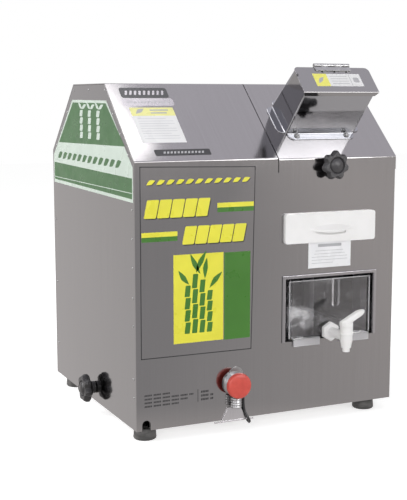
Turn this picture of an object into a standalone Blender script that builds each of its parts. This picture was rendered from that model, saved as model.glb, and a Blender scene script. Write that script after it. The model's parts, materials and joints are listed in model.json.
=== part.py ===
"""Bench-top sugarcane juicer: folded sheet-metal cabinet, tilting roof cover with hopper, three-roller
mill with spur gears and belt drive, strainer drawer and juice tank with a tap.

Metres, +Z up, front of the machine towards -Y. Pieces are laid out in casing coordinates: x from the
left face, y from the front face, z from the bottom edge of the cabinet. The function world() turns
them into scene coordinates, whose origin is the bottom centre of the whole machine.
"""

from math import acos, asin, atan2, cos, hypot, pi, radians, sin, tan

import bmesh
import bpy
from mathutils import Vector

# Cabinet over its outer faces
BODY_WIDTH = 0.482
BODY_DEPTH = 0.424
EAVE_HEIGHT = 0.430
RIDGE_RISE = 0.121
SLOPE_RUN = 0.130
SHEET = 0.0015
BEND_RADIUS = 0.004
EDGE_FLANGE = 0.016
SEAM_INSET = 0.2305
SEAM_GAP = 0.0016
COVER_FRONT_FLANGE = 0.024
REAR_FLANGE = 0.014
GAP = 0.0003

# Arched cut-out in the bottom edge of the front wall
ARCH_X = 0.0170
ARCH_WIDTH = 0.0145
ARCH_HEIGHT = 0.0170

# Rubber feet
FOOT_HEIGHT = 0.020
FOOT_RADIUS = 0.019
FOOT_INSET_LEFT = 0.0245
FOOT_INSET_RIGHT = 0.039
FOOT_INSET_FRONT = 0.026
FOOT_INSET_REAR = 0.043

# Hopper, in roof coordinates: s up the front slope from the eave, h square to the slope
HOPPER_INSET = 0.0605
HOPPER_WIDTH = 0.1350
HOPPER_FRONT_S = 0.0535
HOPPER_BACK_S = 0.1225
HOPPER_TOP_BACK_S = 0.1060
HOPPER_FRONT_H = 0.0970
HOPPER_BACK_H = 0.1010
HOPPER_TAB = 0.0135
HOPPER_TAB_RADIUS = 0.010
HOPPER_FOLD = 0.0030

# Hopper lid
LID_OVERHANG_SIDE = 0.0045
LID_OVERHANG_FRONT = 0.0030
LID_LIP = 0.0075
LID_CHEEK_DEPTH = 0.030
LID_CORNER_RADIUS = 0.008
LID_HINGE_LENGTH = 0.068
LID_HINGE_RADIUS = 0.0032
LID_HINGE_PIN = 0.0014
LID_HINGE_LEAF = 0.0120

# Cover hinge along the rear eave
COVER_HINGE_RADIUS = 0.0042
COVER_HINGE_PIN = 0.0021
COVER_HINGE_LEAF = 0.026
COVER_HINGE_INSET = 0.020
KNUCKLE_COUNT = 5
PIN_CLEARANCE = 0.0003

# Star knobs, seven lobes
KNOB_RADIUS = 0.0249
KNOB_RIM = 0.0135
KNOB_LOBES = 7
KNOB_HUB_RADIUS = 0.0105
KNOB_DOME = 0.0030
KNOB_SEAT = 0.0009
STUD_RADIUS = 0.0040
STUD_CLEARANCE = 0.0006
WELD_NUT_RADIUS = 0.008
WELD_NUT_LENGTH = 0.007
COVER_KNOB_INSET = 0.1310
COVER_KNOB_DROP = 0.0134
COVER_KNOB_HUB = 0.0078
SIDE_KNOB_Y = 0.2000
SIDE_KNOB_Z = 0.0245
SIDE_KNOB_HUB = 0.0102

# Emergency stop
ESTOP_X = 0.1722
ESTOP_Z = 0.0613
ESTOP_HEAD_RADIUS = 0.0215
ESTOP_HEAD_DEPTH = 0.012
ESTOP_HEAD_START = 0.0145
ESTOP_BEZEL_RADIUS = 0.0200
ESTOP_BEZEL_DEPTH = 0.0080
LEGEND_TOP = 0.0270
LEGEND_SIDE = 0.0040
ESTOP_STEM_RADIUS = 0.0060
ESTOP_TRAVEL = 0.0045
ESTOP_BLOCK = 0.038
STRAP_THICKNESS = 0.0020
STRAP_TOP_WIDTH = 0.023
STRAP_BOTTOM_WIDTH = 0.048
STRAP_TOP_Z = 0.0215
STRAP_LIP_WIDTH = 0.072
STRAP_LIP = 0.0038
STRAP_DROP = 0.003
ESTOP_CABLE_RADIUS = 0.0021
ESTOP_CABLE_SIDE = 0.0165
ESTOP_GLAND_RADIUS = 0.0098
ESTOP_GLAND_BOTTOM = 0.0205
ESTOP_GLAND_RIBS = 4
ESTOP_NECK_RADIUS = 0.0042

# Strainer drawer
DRAWER_INSET = 0.1310
DRAWER_FRONT_WIDTH = 0.1755
DRAWER_FRONT_DROP = 0.1425
DRAWER_FRONT_HEIGHT = 0.0500
DRAWER_FRONT_THICKNESS = 0.0070
DRAWER_CORNER = 0.0045
DRAWER_TRAY_WIDTH = 0.1560
DRAWER_TRAY_DROP = 0.1382
DRAWER_TRAY_HEIGHT = 0.0262
DRAWER_TRAY_LENGTH = 0.188
DRAWER_WALL = 0.0030
DRAWER_OUTLET_INSET = 0.022
DRAWER_SLIDE_CLEARANCE = 0.0015
PULL_WIDTH = 0.082
PULL_DEPTH = 0.0085
PULL_HEIGHT = 0.0150
PULL_WALL = 0.0022
PULL_STEPS = 10
PULL_ROOM = 0.70
SCREEN_THICKNESS = 0.0012
SCREEN_RIM = 0.010
SCREEN_SLOTS_X = 6
SCREEN_SLOTS_Y = 4

# Window and juice tank
WINDOW_INSET = 0.1271
WINDOW_BOTTOM = 0.1190
WINDOW_WIDTH = 0.1840
WINDOW_HEIGHT = 0.1135
WINDOW_FLANGE = 0.0150
WINDOW_CORNER = 0.0030
TANK_RECESS = 0.0040
TANK_SHIFT = 0.0030
TANK_WIDTH = 0.1610
TANK_DEPTH = 0.186
TANK_HEIGHT = 0.1010
TANK_WALL = 0.0030
TANK_CORNER = 0.006
TANK_CLEARANCE = 0.0012
TANK_RIB_RADIUS = 0.0070
TANK_RIB_HEIGHT = 0.048
TANK_RIB_X = 0.0160
TANK_LIP_DROP = 0.0075
TANK_LIP_DEPTH = 0.0036
TANK_LIP_ROOM = 0.0200

# Tap
TAP_INSET = 0.1275
TAP_Z = 0.1325
TAP_AXIS_Y = -0.0546
TAP_COLLAR_RADIUS = 0.0168
TAP_COLLAR_LENGTH = 0.0090
TAP_NECK_RADIUS = 0.0082
TAP_THREAD_RADIUS = 0.0050
TAP_NUT_RADIUS = 0.0080
TAP_NUT_LENGTH = 0.0050
TAP_BARREL_RADIUS = 0.0117
TAP_BARREL_TOP = 0.0180
TAP_BARREL_BOTTOM = -0.0175
TAP_PLUG_RADIUS = 0.0078
TAP_OUTLET_RADIUS = 0.0062
TAP_OUTLET_BOTTOM = -0.0245
TAP_BORE_RADIUS = 0.0034
TAP_RING = 0.0009
TAP_CAP_HEIGHT = 0.0085
TAP_LEVER_LENGTH = 0.0330
TAP_LEVER_RISE = 0.0175
TAP_LEVER_THICKNESS = 0.0115
TAP_LEVER_WIDTH = 0.0130

# Mill
ROLL_CENTRES = 0.0640
ROLL_RADIUS = 0.0312
ROLL_GROOVES = 20
ROLL_GROOVE_DEPTH = 0.0012
ROLL_LENGTH = 0.1410
ROLL_END_GAP = 0.0030
SHAFT_RADIUS = 0.0100
MAIN_ROLL_Y = 0.1480
MAIN_ROLL_RISE = 0.0160
DISCHARGE_TURN = radians(80.0)
CHEEK_THICKNESS = 0.010
CHEEK_FRONT_Y = 0.062
CHEEK_REAR_Y = 0.268
CHEEK_BOTTOM_DROP = 0.085
CHEEK_TOP_RISE = 0.073
CHEEK_SLOPES = ((0.046, 0.043), (0.060, 0.055))
CHEEK_CORNERS = (0.008, 0.012)
ROD_INSETS = ((0.013, 0.015), (0.013, 0.012), (0.046, 0.027))
BOSS_WALL = 0.0070
BOSS_HEIGHT = 0.0035
TIE_ROD_RADIUS = 0.0050
TIE_NUT_RADIUS = 0.0085
TIE_NUT_LENGTH = 0.0060

# Gears
MILL_MODULE = 0.0040
MILL_TEETH = 16
MILL_GEAR_WIDTH = 0.0220
BULL_MODULE = 0.0025
BULL_TEETH = 56
PINION_TEETH = 18
BULL_GEAR_WIDTH = 0.0180
PRESSURE_ANGLE = radians(20.0)
BACKLASH = 0.00035
GEAR_SPACE = 0.0020
PLATE_CLEARANCE = 0.0015
PLATE_THICKNESS = 0.0035
PINION_DIRECTION = radians(-20.0)
DRIVE_PLATE_THICKNESS = 0.0080

# Belt drive and motor
BELT_TOP_WIDTH = 0.0130
BELT_BOTTOM_WIDTH = 0.0090
BELT_DEPTH = 0.0080
BELT_CLEARANCE = 0.00035
PULLEY_GROOVE_ROOM = 0.0025
PULLEY_HOLES = 4
BIG_PULLEY_RADIUS = 0.0650
SMALL_PULLEY_RADIUS = 0.0280
PULLEY_RIM = 0.0010
PULLEY_WIDTH = 0.0200
MOTOR_RADIUS = 0.0580
MOTOR_RIBS = 20
MOTOR_RIB_DEPTH = 0.0035
MOTOR_LENGTH = 0.1150
MOTOR_GAP = 0.0060
MOTOR_SHAFT_RADIUS = 0.0070
MOTOR_SHAFT_SHARE = 0.2
MOTOR_PLATE_Z = 0.0300
MOTOR_PLATE_THICKNESS = 0.0050
MOTOR_AXIS_RISE = 0.0700
MOTOR_FOOT_HEIGHT = 0.0120
CLAMP_BLOCK = 0.0180

# Frame, shelf, rails and chutes
ANGLE_IRON = 0.0250
ANGLE_WALL = 0.0030
FRAME_LEFT_INSET = 0.2350
FRAME_RIGHT_INSET = 0.0280
FRAME_FRONT_Y = 0.0560
FRAME_REAR_Y = 0.2620
RAIL_SHEET = 0.0020
RAIL_LEDGE = 0.0070
GUIDE_TOP_DROP = 0.0045
GUIDE_MOUTH_H = -0.0640
GUIDE_MOUTH_HALF = 0.0110
FUNNEL_RISE = 0.0090
CHUTE_WALL = 0.0250
CHUTE_START_Y = 0.2175
CHUTE_START_DROP = 0.0340
CHUTE_SLOPE = -0.44
CHUTE_LIP = 0.0100
VENT_COUNT = 7
VENT_LENGTH = 0.090
VENT_HEIGHT = 0.0045
VENT_PITCH = 0.014
GLAND_RADIUS = 0.0100
GLAND_X = 0.060
GLAND_Z = 0.060

ROUND = 20
SMALL_ROUND = 12

# Derived places in casing coordinates
SEAM_X = BODY_WIDTH - SEAM_INSET
HOPPER_RIGHT = BODY_WIDTH - HOPPER_INSET
HOPPER_LEFT = HOPPER_RIGHT - HOPPER_WIDTH
COVER_KNOB_X = BODY_WIDTH - COVER_KNOB_INSET
COVER_KNOB_Z = EAVE_HEIGHT - COVER_KNOB_DROP
DRAWER_CENTRE_X = BODY_WIDTH - DRAWER_INSET
DRAWER_FRONT_BOTTOM = EAVE_HEIGHT - DRAWER_FRONT_DROP
DRAWER_TRAY_BOTTOM = EAVE_HEIGHT - DRAWER_TRAY_DROP
WINDOW_CENTRE_X = BODY_WIDTH - WINDOW_INSET
TANK_CENTRE_X = WINDOW_CENTRE_X + TANK_SHIFT
TAP_X = BODY_WIDTH - TAP_INSET
FRAME_LEFT_X = BODY_WIDTH - FRAME_LEFT_INSET
FRAME_RIGHT_X = BODY_WIDTH - FRAME_RIGHT_INSET
MAIN_ROLL_Z = EAVE_HEIGHT + MAIN_ROLL_RISE
CHEEK_BOTTOM_Z = EAVE_HEIGHT - CHEEK_BOTTOM_DROP
CHEEK_TOP_Z = EAVE_HEIGHT + CHEEK_TOP_RISE
CHUTE_START_Z = EAVE_HEIGHT - CHUTE_START_DROP
PAN_Z = SHEET + GAP
ROOF_ANGLE = atan2(RIDGE_RISE, SLOPE_RUN)
RIDGE_HEIGHT = EAVE_HEIGHT + RIDGE_RISE
REAR_RIDGE_Y = BODY_DEPTH - SLOPE_RUN
KNOB_OUTER = KNOB_RIM + KNOB_DOME
SIDE_KNOB_REACH = KNOB_SEAT + SIDE_KNOB_HUB + KNOB_OUTER
FRONT_REACH = TAP_BARREL_RADIUS - TAP_AXIS_Y
REAR_REACH = CHUTE_LIP
LEFT = (SIDE_KNOB_REACH - BODY_WIDTH) / 2
FRONT = (FRONT_REACH - BODY_DEPTH - REAR_REACH) / 2
BASE = FOOT_HEIGHT

ROLL_LEFT = HOPPER_LEFT + (HOPPER_RIGHT - HOPPER_LEFT - ROLL_LENGTH) / 2
ROLL_RIGHT = ROLL_LEFT + ROLL_LENGTH
CHEEK_LEFT_IN = ROLL_LEFT - ROLL_END_GAP
CHEEK_RIGHT_IN = ROLL_RIGHT + ROLL_END_GAP
CHEEK_LEFT_OUT = CHEEK_LEFT_IN - CHEEK_THICKNESS
CHEEK_RIGHT_OUT = CHEEK_RIGHT_IN + CHEEK_THICKNESS
MILL_GEAR_RIGHT = CHEEK_LEFT_OUT - BOSS_HEIGHT - GAP
MILL_GEAR_LEFT = MILL_GEAR_RIGHT - MILL_GEAR_WIDTH
BULL_RIGHT = MILL_GEAR_LEFT - GEAR_SPACE - BOSS_HEIGHT
BULL_LEFT = BULL_RIGHT - BULL_GEAR_WIDTH
DRIVE_PLATE_RIGHT = BULL_LEFT - GEAR_SPACE - BOSS_HEIGHT
DRIVE_PLATE_LEFT = DRIVE_PLATE_RIGHT - DRIVE_PLATE_THICKNESS
PULLEY_RIGHT = DRIVE_PLATE_LEFT - TIE_NUT_LENGTH - GEAR_SPACE
PULLEY_LEFT = PULLEY_RIGHT - PULLEY_WIDTH
PULLEY_MID = (PULLEY_LEFT + PULLEY_RIGHT) / 2
MOTOR_RIGHT = PULLEY_LEFT - MOTOR_GAP
MOTOR_LEFT = MOTOR_RIGHT - MOTOR_LENGTH

FEED_TURN = pi + ROOF_ANGLE
DISCHARGE_ANGLE = FEED_TURN + DISCHARGE_TURN
MAIN_AXIS = (MAIN_ROLL_Y, MAIN_ROLL_Z)


def polar(centre, radius, angle):
    """Point at an angle round a centre, in any plane."""
    return (centre[0] + radius * cos(angle), centre[1] + radius * sin(angle))


FEED_AXIS = polar(MAIN_AXIS, ROLL_CENTRES, FEED_TURN)
DISCHARGE_AXIS = polar(MAIN_AXIS, ROLL_CENTRES, DISCHARGE_ANGLE)
PINION_CENTRES = BULL_MODULE * (BULL_TEETH + PINION_TEETH) / 2
PINION_AXIS = polar(MAIN_AXIS, PINION_CENTRES, PINION_DIRECTION)
MOTOR_AXIS = (PINION_AXIS[0], MOTOR_PLATE_Z + MOTOR_PLATE_THICKNESS + MOTOR_AXIS_RISE)


def world(x, y, z):
    """Casing coordinates to scene coordinates."""
    return Vector((LEFT + x, FRONT + y, BASE + z))


def slope_point(s, h):
    """Roof coordinates to casing (y, z)."""
    return (s * cos(ROOF_ANGLE) - h * sin(ROOF_ANGLE),
            EAVE_HEIGHT + s * sin(ROOF_ANGLE) + h * cos(ROOF_ANGLE))


# Scene, materials and bodies


def clear_scene():
    for old in list(bpy.data.objects):
        bpy.data.objects.remove(old, do_unlink=True)


def make_material(name, colour, roughness, metallic):
    made = bpy.data.materials.new(name)
    made.use_nodes = True
    shader = made.node_tree.nodes["Principled BSDF"]
    shader.inputs["Base Color"].default_value = (*colour, 1.0)
    shader.inputs["Roughness"].default_value = roughness
    shader.inputs["Metallic"].default_value = metallic
    made.diffuse_color = (*colour, 1.0)
    return made


def make_body(name, place, parent=None):
    """Empty on a joint's axis that carries the pieces of one moving body."""
    empty = bpy.data.objects.new(name, None)
    bpy.context.collection.objects.link(empty)
    empty["place"] = tuple(place)
    empty.location = place
    if parent:
        empty.parent = parent
        empty.location = place - Vector(parent["place"])
    return empty


def add(name, bm, material=None, body=None):
    """Object from a mesh in scene coordinates, with its origin on its body's axis."""
    bmesh.ops.recalc_face_normals(bm, faces=bm.faces)
    origin = Vector(body["place"]) if body else Vector()
    bmesh.ops.translate(bm, vec=-origin, verts=bm.verts)
    mesh = bpy.data.meshes.new(name)
    bm.to_mesh(mesh)
    bm.free()
    made = bpy.data.objects.new(name, mesh)
    bpy.context.collection.objects.link(made)
    if body:
        made.parent = body
    if material:
        mesh.materials.append(material)
        mesh.shade_smooth()
        mesh.set_sharp_from_angle(angle=radians(32))
    return made


def boolean(target, tool_bm, operation, label):
    """Adds or cuts a helper mesh, which stays hidden beside its target."""
    tool = add(f"{target.name}_{label}", tool_bm)
    tool.hide_render = True
    tool.display_type = "WIRE"
    modifier = target.modifiers.new(label, "BOOLEAN")
    modifier.operation = operation
    modifier.solver = "EXACT"
    modifier.object = tool
    return target


def cut(target, tool_bm, label):
    return boolean(target, tool_bm, "DIFFERENCE", label)


def join(target, tool_bm, label):
    return boolean(target, tool_bm, "UNION", label)


# Outlines


def fillet(points, radius, steps=4, closed=True):
    """Rounds the corners of a polyline; radius is one value or one for each point."""
    count = len(points)
    radii = radius if isinstance(radius, (list, tuple)) else [radius] * count
    made = []
    for index, point in enumerate(points):
        end = not closed and index in (0, count - 1)
        if end or radii[index] <= 0:
            made.append(tuple(point))
            continue
        here = Vector(point)
        before = Vector(points[index - 1]) - here
        after = Vector(points[(index + 1) % count]) - here
        before.normalize()
        after.normalize()
        half = acos(max(-1.0, min(1.0, before.dot(after)))) / 2
        reach = radii[index] / tan(half)
        centre = here + (before + after).normalized() * (radii[index] / sin(half))
        start = here + before * reach - centre
        finish = here + after * reach - centre
        first = atan2(start.y, start.x)
        sweep = (atan2(finish.y, finish.x) - first + pi) % (2 * pi) - pi
        made += [polar(centre, radii[index], first + sweep * k / steps) for k in range(steps + 1)]
    return made


def rectangle(low_u, high_u, low_v, high_v, radius=0.0, steps=4):
    corners = [(low_u, low_v), (high_u, low_v), (high_u, high_v), (low_u, high_v)]
    return fillet(corners, radius, steps) if radius else corners


def circle(centre, radius, count=ROUND, turn=0.0):
    return [polar(centre, radius, turn + 2 * pi * k / count) for k in range(count)]


def offset_line(points, distance):
    """Open polyline moved to its left, with mitred corners."""
    made = []
    for index, point in enumerate(points):
        here = Vector(point)
        tangents = []
        if index:
            tangents.append((here - Vector(points[index - 1])).normalized())
        if index < len(points) - 1:
            tangents.append((Vector(points[index + 1]) - here).normalized())
        normals = [Vector((-t.y, t.x)) for t in tangents]
        middle = sum(normals, Vector((0, 0))).normalized()
        made.append(tuple(here + middle * (distance / middle.dot(normals[0]))))
    return made


def folded_sheet(points, thickness, radius, steps=4):
    """Closed outline of a bent sheet; points run along its outer face, with the metal on the left."""
    inner = max(radius - thickness, 0.0002)
    outside = fillet(points, radius, steps, closed=False)
    inside = fillet(offset_line(points, thickness), inner, steps, closed=False)
    return outside + inside[::-1]


def roof_line(drop, bottom):
    """House-shaped outline of a side wall, drawn in from the outer faces and standing at a height."""
    points = [(0, 0), (BODY_DEPTH, 0), (BODY_DEPTH, EAVE_HEIGHT), (REAR_RIDGE_Y, RIDGE_HEIGHT),
              (SLOPE_RUN, RIDGE_HEIGHT), (0, EAVE_HEIGHT)]
    inset = offset_line([points[-1], *points, points[0]], drop)[1:-1]
    return [(y, bottom if index < 2 else z) for index, (y, z) in enumerate(inset)]


# Solids

PLANES = {"X": lambda u, v, w: (w, u, v), "Y": lambda u, v, w: (u, w, v), "Z": lambda u, v, w: (u, v, w)}


def place(axis, u, v, w):
    """Point from plane coordinates: (y, z) across X, (x, z) across Y, (x, y) across Z."""
    return world(*PLANES[axis](u, v, w))


def prism(outline, axis, low, high, holes=()):
    """Flat outline with holes, extruded along an axis."""
    bm = bmesh.new()
    edges = []
    for loop in (outline, *holes):
        verts = [bm.verts.new(place(axis, u, v, low)) for u, v in loop]
        edges += [bm.edges.new(pair) for pair in zip(verts, verts[1:] + verts[:1])]
    bmesh.ops.triangle_fill(bm, use_beauty=True, edges=edges)
    grown = bmesh.ops.extrude_face_region(bm, geom=list(bm.faces))
    moved = [item for item in grown["geom"] if isinstance(item, bmesh.types.BMVert)]
    step = place(axis, 0, 0, high) - place(axis, 0, 0, low)
    bmesh.ops.translate(bm, vec=step, verts=moved)
    bmesh.ops.recalc_face_normals(bm, faces=bm.faces)
    return bm


def block(x0, x1, y0, y1, z0, z1):
    return prism(rectangle(x0, x1, y0, y1), "Z", z0, z1)


def skin(bm, rings, closed):
    """Faces between successive rings of vertices; a ring of one vertex is a pole."""
    pairs = list(zip(rings, rings[1:]))
    if closed:
        pairs.append((rings[-1], rings[0]))
    for ring, other in pairs:
        count = max(len(ring), len(other))
        for k in range(count):
            n = (k + 1) % count
            corners = [ring[k % len(ring)], ring[n % len(ring)], other[n % len(other)], other[k % len(other)]]
            bm.faces.new(list(dict.fromkeys(corners)))
    if not closed:
        for ring in (rings[0], rings[-1]):
            if len(ring) > 2:
                bm.faces.new(ring)
    bmesh.ops.recalc_face_normals(bm, faces=bm.faces)
    return bm


def turned(profile, axis, centre, count=ROUND, closed=False, turn=0.0):
    """Solid of revolution; profile is (radius, distance along the axis), closed for a ring."""
    bm = bmesh.new()
    rings = []
    for radius, along in profile:
        loop = circle(centre, radius, count, turn) if radius > 1e-7 else [centre]
        rings.append([bm.verts.new(place(axis, u, v, along)) for u, v in loop])
    return skin(bm, rings, closed)


def rod(axis, centre, radius, low, high, count=ROUND):
    return turned([(radius, low), (radius, high)], axis, centre, count)


def tube(axis, centre, outer, inner, low, high, count=ROUND):
    return turned([(outer, low), (outer, high), (inner, high), (inner, low)], axis, centre, count, True)


def loft(loops, closed=False):
    """Solid through loops of scene points."""
    bm = bmesh.new()
    rings = [[bm.verts.new(point) for point in loop] for loop in loops]
    return skin(bm, rings, closed)


def merge(*parts):
    """Several separate solids in one mesh."""
    bm = parts[0]
    for part in parts[1:]:
        mesh = bpy.data.meshes.new("merge")
        part.to_mesh(mesh)
        part.free()
        bm.from_mesh(mesh)
        bpy.data.meshes.remove(mesh)
    return bm


# Cabinet


def front_and_roof_sheet(steel):
    """Front wall, left half of the roof and its rear flange, folded from one sheet."""
    line = [(0, 0), (0, EAVE_HEIGHT), (SLOPE_RUN, RIDGE_HEIGHT), (REAR_RIDGE_Y, RIDGE_HEIGHT),
            (BODY_DEPTH, EAVE_HEIGHT), (BODY_DEPTH, EAVE_HEIGHT - REAR_FLANGE)]
    outline = folded_sheet(line[::-1], SHEET, BEND_RADIUS)
    sheet = add("front_and_roof_sheet", prism(outline, "X", 0, BODY_WIDTH), steel)
    cover_room = block(SEAM_X, BODY_WIDTH + SHEET, -SHEET, BODY_DEPTH + SHEET,
                       EAVE_HEIGHT - REAR_FLANGE / 3, RIDGE_HEIGHT + SHEET)
    cut(sheet, cover_room, "cover_room")
    rear_room = block(SEAM_X, BODY_WIDTH + SHEET, BODY_DEPTH / 2, BODY_DEPTH + SHEET,
                      EAVE_HEIGHT - 2 * REAR_FLANGE, EAVE_HEIGHT)
    cut(sheet, rear_room, "rear_room")
    left = WINDOW_CENTRE_X - WINDOW_WIDTH / 2
    right = WINDOW_CENTRE_X + WINDOW_WIDTH / 2
    top = WINDOW_BOTTOM + WINDOW_HEIGHT
    ring = prism(rectangle(left, right, WINDOW_BOTTOM, top, WINDOW_CORNER), "Y", SHEET / 2, WINDOW_FLANGE)
    join(sheet, ring, "window_flange")
    hole = rectangle(left + SHEET, right - SHEET, WINDOW_BOTTOM + SHEET, top - SHEET, WINDOW_CORNER / 2)
    cut(sheet, prism(hole, "Y", -SHEET, 2 * WINDOW_FLANGE), "window")
    tray_half = DRAWER_TRAY_WIDTH / 2 + DRAWER_SLIDE_CLEARANCE
    slot = rectangle(DRAWER_CENTRE_X - tray_half, DRAWER_CENTRE_X + tray_half,
                     DRAWER_TRAY_BOTTOM - DRAWER_SLIDE_CLEARANCE,
                     DRAWER_TRAY_BOTTOM + DRAWER_TRAY_HEIGHT + DRAWER_SLIDE_CLEARANCE)
    cut(sheet, prism(slot, "Y", -SHEET, 2 * SHEET), "drawer_slot")
    stud = (COVER_KNOB_X, COVER_KNOB_Z)
    nut = prism(circle(stud, WELD_NUT_RADIUS, 6), "Y", SHEET / 2, SHEET + WELD_NUT_LENGTH)
    join(sheet, nut, "weld_nut")
    cut(sheet, rod("Y", stud, STUD_RADIUS + GAP, -SHEET, SHEET + 2 * WELD_NUT_LENGTH), "stud_hole")
    button = (ESTOP_X, ESTOP_Z)
    cut(sheet, rod("Y", button, ESTOP_STEM_RADIUS + STUD_CLEARANCE, -SHEET, 2 * SHEET), "estop_hole")
    cut(sheet, arch_cutter(), "arch")


def arch_cutter():
    """Round-topped cut through every sheet at the front wall's bottom left corner."""
    half = ARCH_WIDTH / 2
    arch = rectangle(ARCH_X - half, ARCH_X + half, -SHEET, ARCH_HEIGHT)
    return prism(fillet(arch, [0, 0, half * 0.98, half * 0.98]), "Y", -SHEET, 2 * ARCH_HEIGHT)


def side_panel(name, outer_x, inward, steel):
    """House-shaped wall with a flange turned in all round, under the folded sheet."""
    drop = SHEET + GAP
    low, high = sorted((outer_x, outer_x + inward * SHEET))
    panel = add(name, prism(roof_line(drop, 0), "X", low, high), steel)
    low, high = sorted((outer_x, outer_x + inward * EDGE_FLANGE))
    rim = prism(roof_line(drop, 0), "X", low, high, holes=[roof_line(drop + SHEET, SHEET)])
    join(panel, rim, "rim")
    if inward > 0:
        hole = rod("X", (SIDE_KNOB_Y, SIDE_KNOB_Z), STUD_RADIUS + STUD_CLEARANCE, -SHEET, 2 * SHEET)
        cut(panel, hole, "stud_hole")
        cut(panel, arch_cutter(), "arch")


def base_pan(steel):
    """Floor of the cabinet, folded up at the front and back, on the side walls' bottom flanges."""
    near = 2 * (SHEET + GAP)
    line = [(near, PAN_Z + EDGE_FLANGE), (near, PAN_Z), (BODY_DEPTH - near, PAN_Z),
            (BODY_DEPTH - near, PAN_Z + EDGE_FLANGE)]
    outline = folded_sheet(line, SHEET, BEND_RADIUS / 2)
    pan = add("base_pan", prism(outline, "X", SHEET + GAP, BODY_WIDTH - SHEET - GAP), steel)
    cut(pan, arch_cutter(), "arch")


def rear_panel(steel):
    """Back wall with the bagasse outlet, vent slots and the cable entry."""
    top = EAVE_HEIGHT - REAR_FLANGE - GAP
    outline = rectangle(0, BODY_WIDTH, 0, top)
    floor_z = CHUTE_START_Z + CHUTE_SLOPE * (BODY_DEPTH - CHUTE_START_Y)
    outlet = rectangle(CHEEK_LEFT_IN, CHEEK_RIGHT_IN, floor_z - 2 * SHEET,
                       floor_z + CHUTE_WALL + 4 * SHEET, BEND_RADIUS)
    holes = [outlet, circle((GLAND_X, GLAND_Z), GLAND_RADIUS - SHEET, SMALL_ROUND)]
    first = MOTOR_AXIS[1] + MOTOR_RADIUS + VENT_PITCH
    for row in range(VENT_COUNT):
        low = first + row * VENT_PITCH
        holes.append(rectangle(MOTOR_LEFT, MOTOR_LEFT + VENT_LENGTH, low, low + VENT_HEIGHT,
                               VENT_HEIGHT * 0.45, 2))
    add("rear_panel", prism(outline, "Y", BODY_DEPTH - SHEET, BODY_DEPTH, holes), steel)


def seam_channel(steel):
    """Strip under the seam of the roof, which carries the left edge of the tilting cover."""
    drop = SHEET + GAP
    places = (BODY_DEPTH - 2 * REAR_FLANGE, REAR_RIDGE_Y, SLOPE_RUN, 2 * REAR_FLANGE)
    line = offset_line([(y, roof_height(y)) for y in places], drop)
    outline = folded_sheet(line, SHEET, BEND_RADIUS)
    add("seam_channel", prism(outline, "X", SEAM_X - EDGE_FLANGE / 2, SEAM_X + EDGE_FLANGE), steel)


def roof_height(y):
    """Height of the roof's outer face over a place between the front and the back."""
    run = min(y, BODY_DEPTH - y, SLOPE_RUN)
    return EAVE_HEIGHT + RIDGE_RISE * run / SLOPE_RUN


def rubber_feet(rubber):
    """Four turned feet, each with a spigot against the floor of the cabinet."""
    spigot = FOOT_RADIUS * 0.4
    profile = [(FOOT_RADIUS * 0.90, -FOOT_HEIGHT), (FOOT_RADIUS, -FOOT_HEIGHT * 0.9),
               (FOOT_RADIUS * 0.93, -FOOT_HEIGHT * 0.1), (FOOT_RADIUS * 0.86, -GAP), (spigot, -GAP),
               (spigot, PAN_Z - GAP)]
    near, far = FOOT_INSET_FRONT, BODY_DEPTH - FOOT_INSET_REAR
    left, right = FOOT_INSET_LEFT, BODY_WIDTH - FOOT_INSET_RIGHT
    for name, spot in (("front_left", (left, near)), ("front_right", (right, near)),
                       ("rear_left", (left, far)), ("rear_right", (right, far))):
        add(f"{name}_foot", turned(profile, "Z", spot), rubber)


# Tilting roof cover, hopper and lid


def roof_cover(body, steel):
    """Right half of the roof, folded over the front wall and hinged at the rear eave."""
    front = -(GAP + SHEET)
    slope = RIDGE_RISE / SLOPE_RUN
    end = COVER_HINGE_RADIUS * 1.5 * cos(ROOF_ANGLE)
    line = [(BODY_DEPTH - end, EAVE_HEIGHT + end * slope), (REAR_RIDGE_Y, RIDGE_HEIGHT),
            (SLOPE_RUN, RIDGE_HEIGHT), (front, EAVE_HEIGHT + front * slope),
            (front, EAVE_HEIGHT - COVER_FRONT_FLANGE)]
    outline = folded_sheet(line, SHEET, BEND_RADIUS)
    cover = add("right_roof_cover", prism(outline, "X", SEAM_X + SEAM_GAP, BODY_WIDTH), steel, body)
    mouth = hopper_loop(SHEET, -4 * SHEET), hopper_loop(SHEET, 4 * SHEET)
    cut(cover, loft(mouth), "feed_opening")
    half = STUD_RADIUS + STUD_CLEARANCE
    notch = rectangle(COVER_KNOB_X - half, COVER_KNOB_X + half, EAVE_HEIGHT - 2 * COVER_FRONT_FLANGE,
                      COVER_KNOB_Z + half)
    notch = fillet(notch, [0, 0, half * 0.95, half * 0.95])
    cut(cover, prism(notch, "Y", 3 * front, 0), "stud_notch")


def roof_place(x, s, h):
    """Scene point from roof coordinates."""
    y, z = slope_point(s, h)
    return world(x, y, z)


def hopper_ring(wall, back_s):
    """Outline of the hopper's walls in (x, s) with folded corners, drawn in by a wall."""
    corners = rectangle(HOPPER_LEFT + wall, HOPPER_RIGHT - wall, HOPPER_FRONT_S + wall, back_s - wall)
    return fillet(corners, HOPPER_FOLD - wall, 3)


def hopper_loop(wall, h):
    """Ring of the hopper's walls at one height over the roof."""
    return [roof_place(x, s, h) for x, s in hopper_ring(wall, HOPPER_BACK_S)]


def hopper_top_loop(wall):
    """Ring of the hopper's rim, which rises towards the back."""
    rise = (HOPPER_BACK_H - HOPPER_FRONT_H) / (HOPPER_TOP_BACK_S - HOPPER_FRONT_S)
    return [roof_place(x, s, HOPPER_FRONT_H + rise * (s - HOPPER_FRONT_S))
            for x, s in hopper_ring(wall, HOPPER_TOP_BACK_S)]


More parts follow.
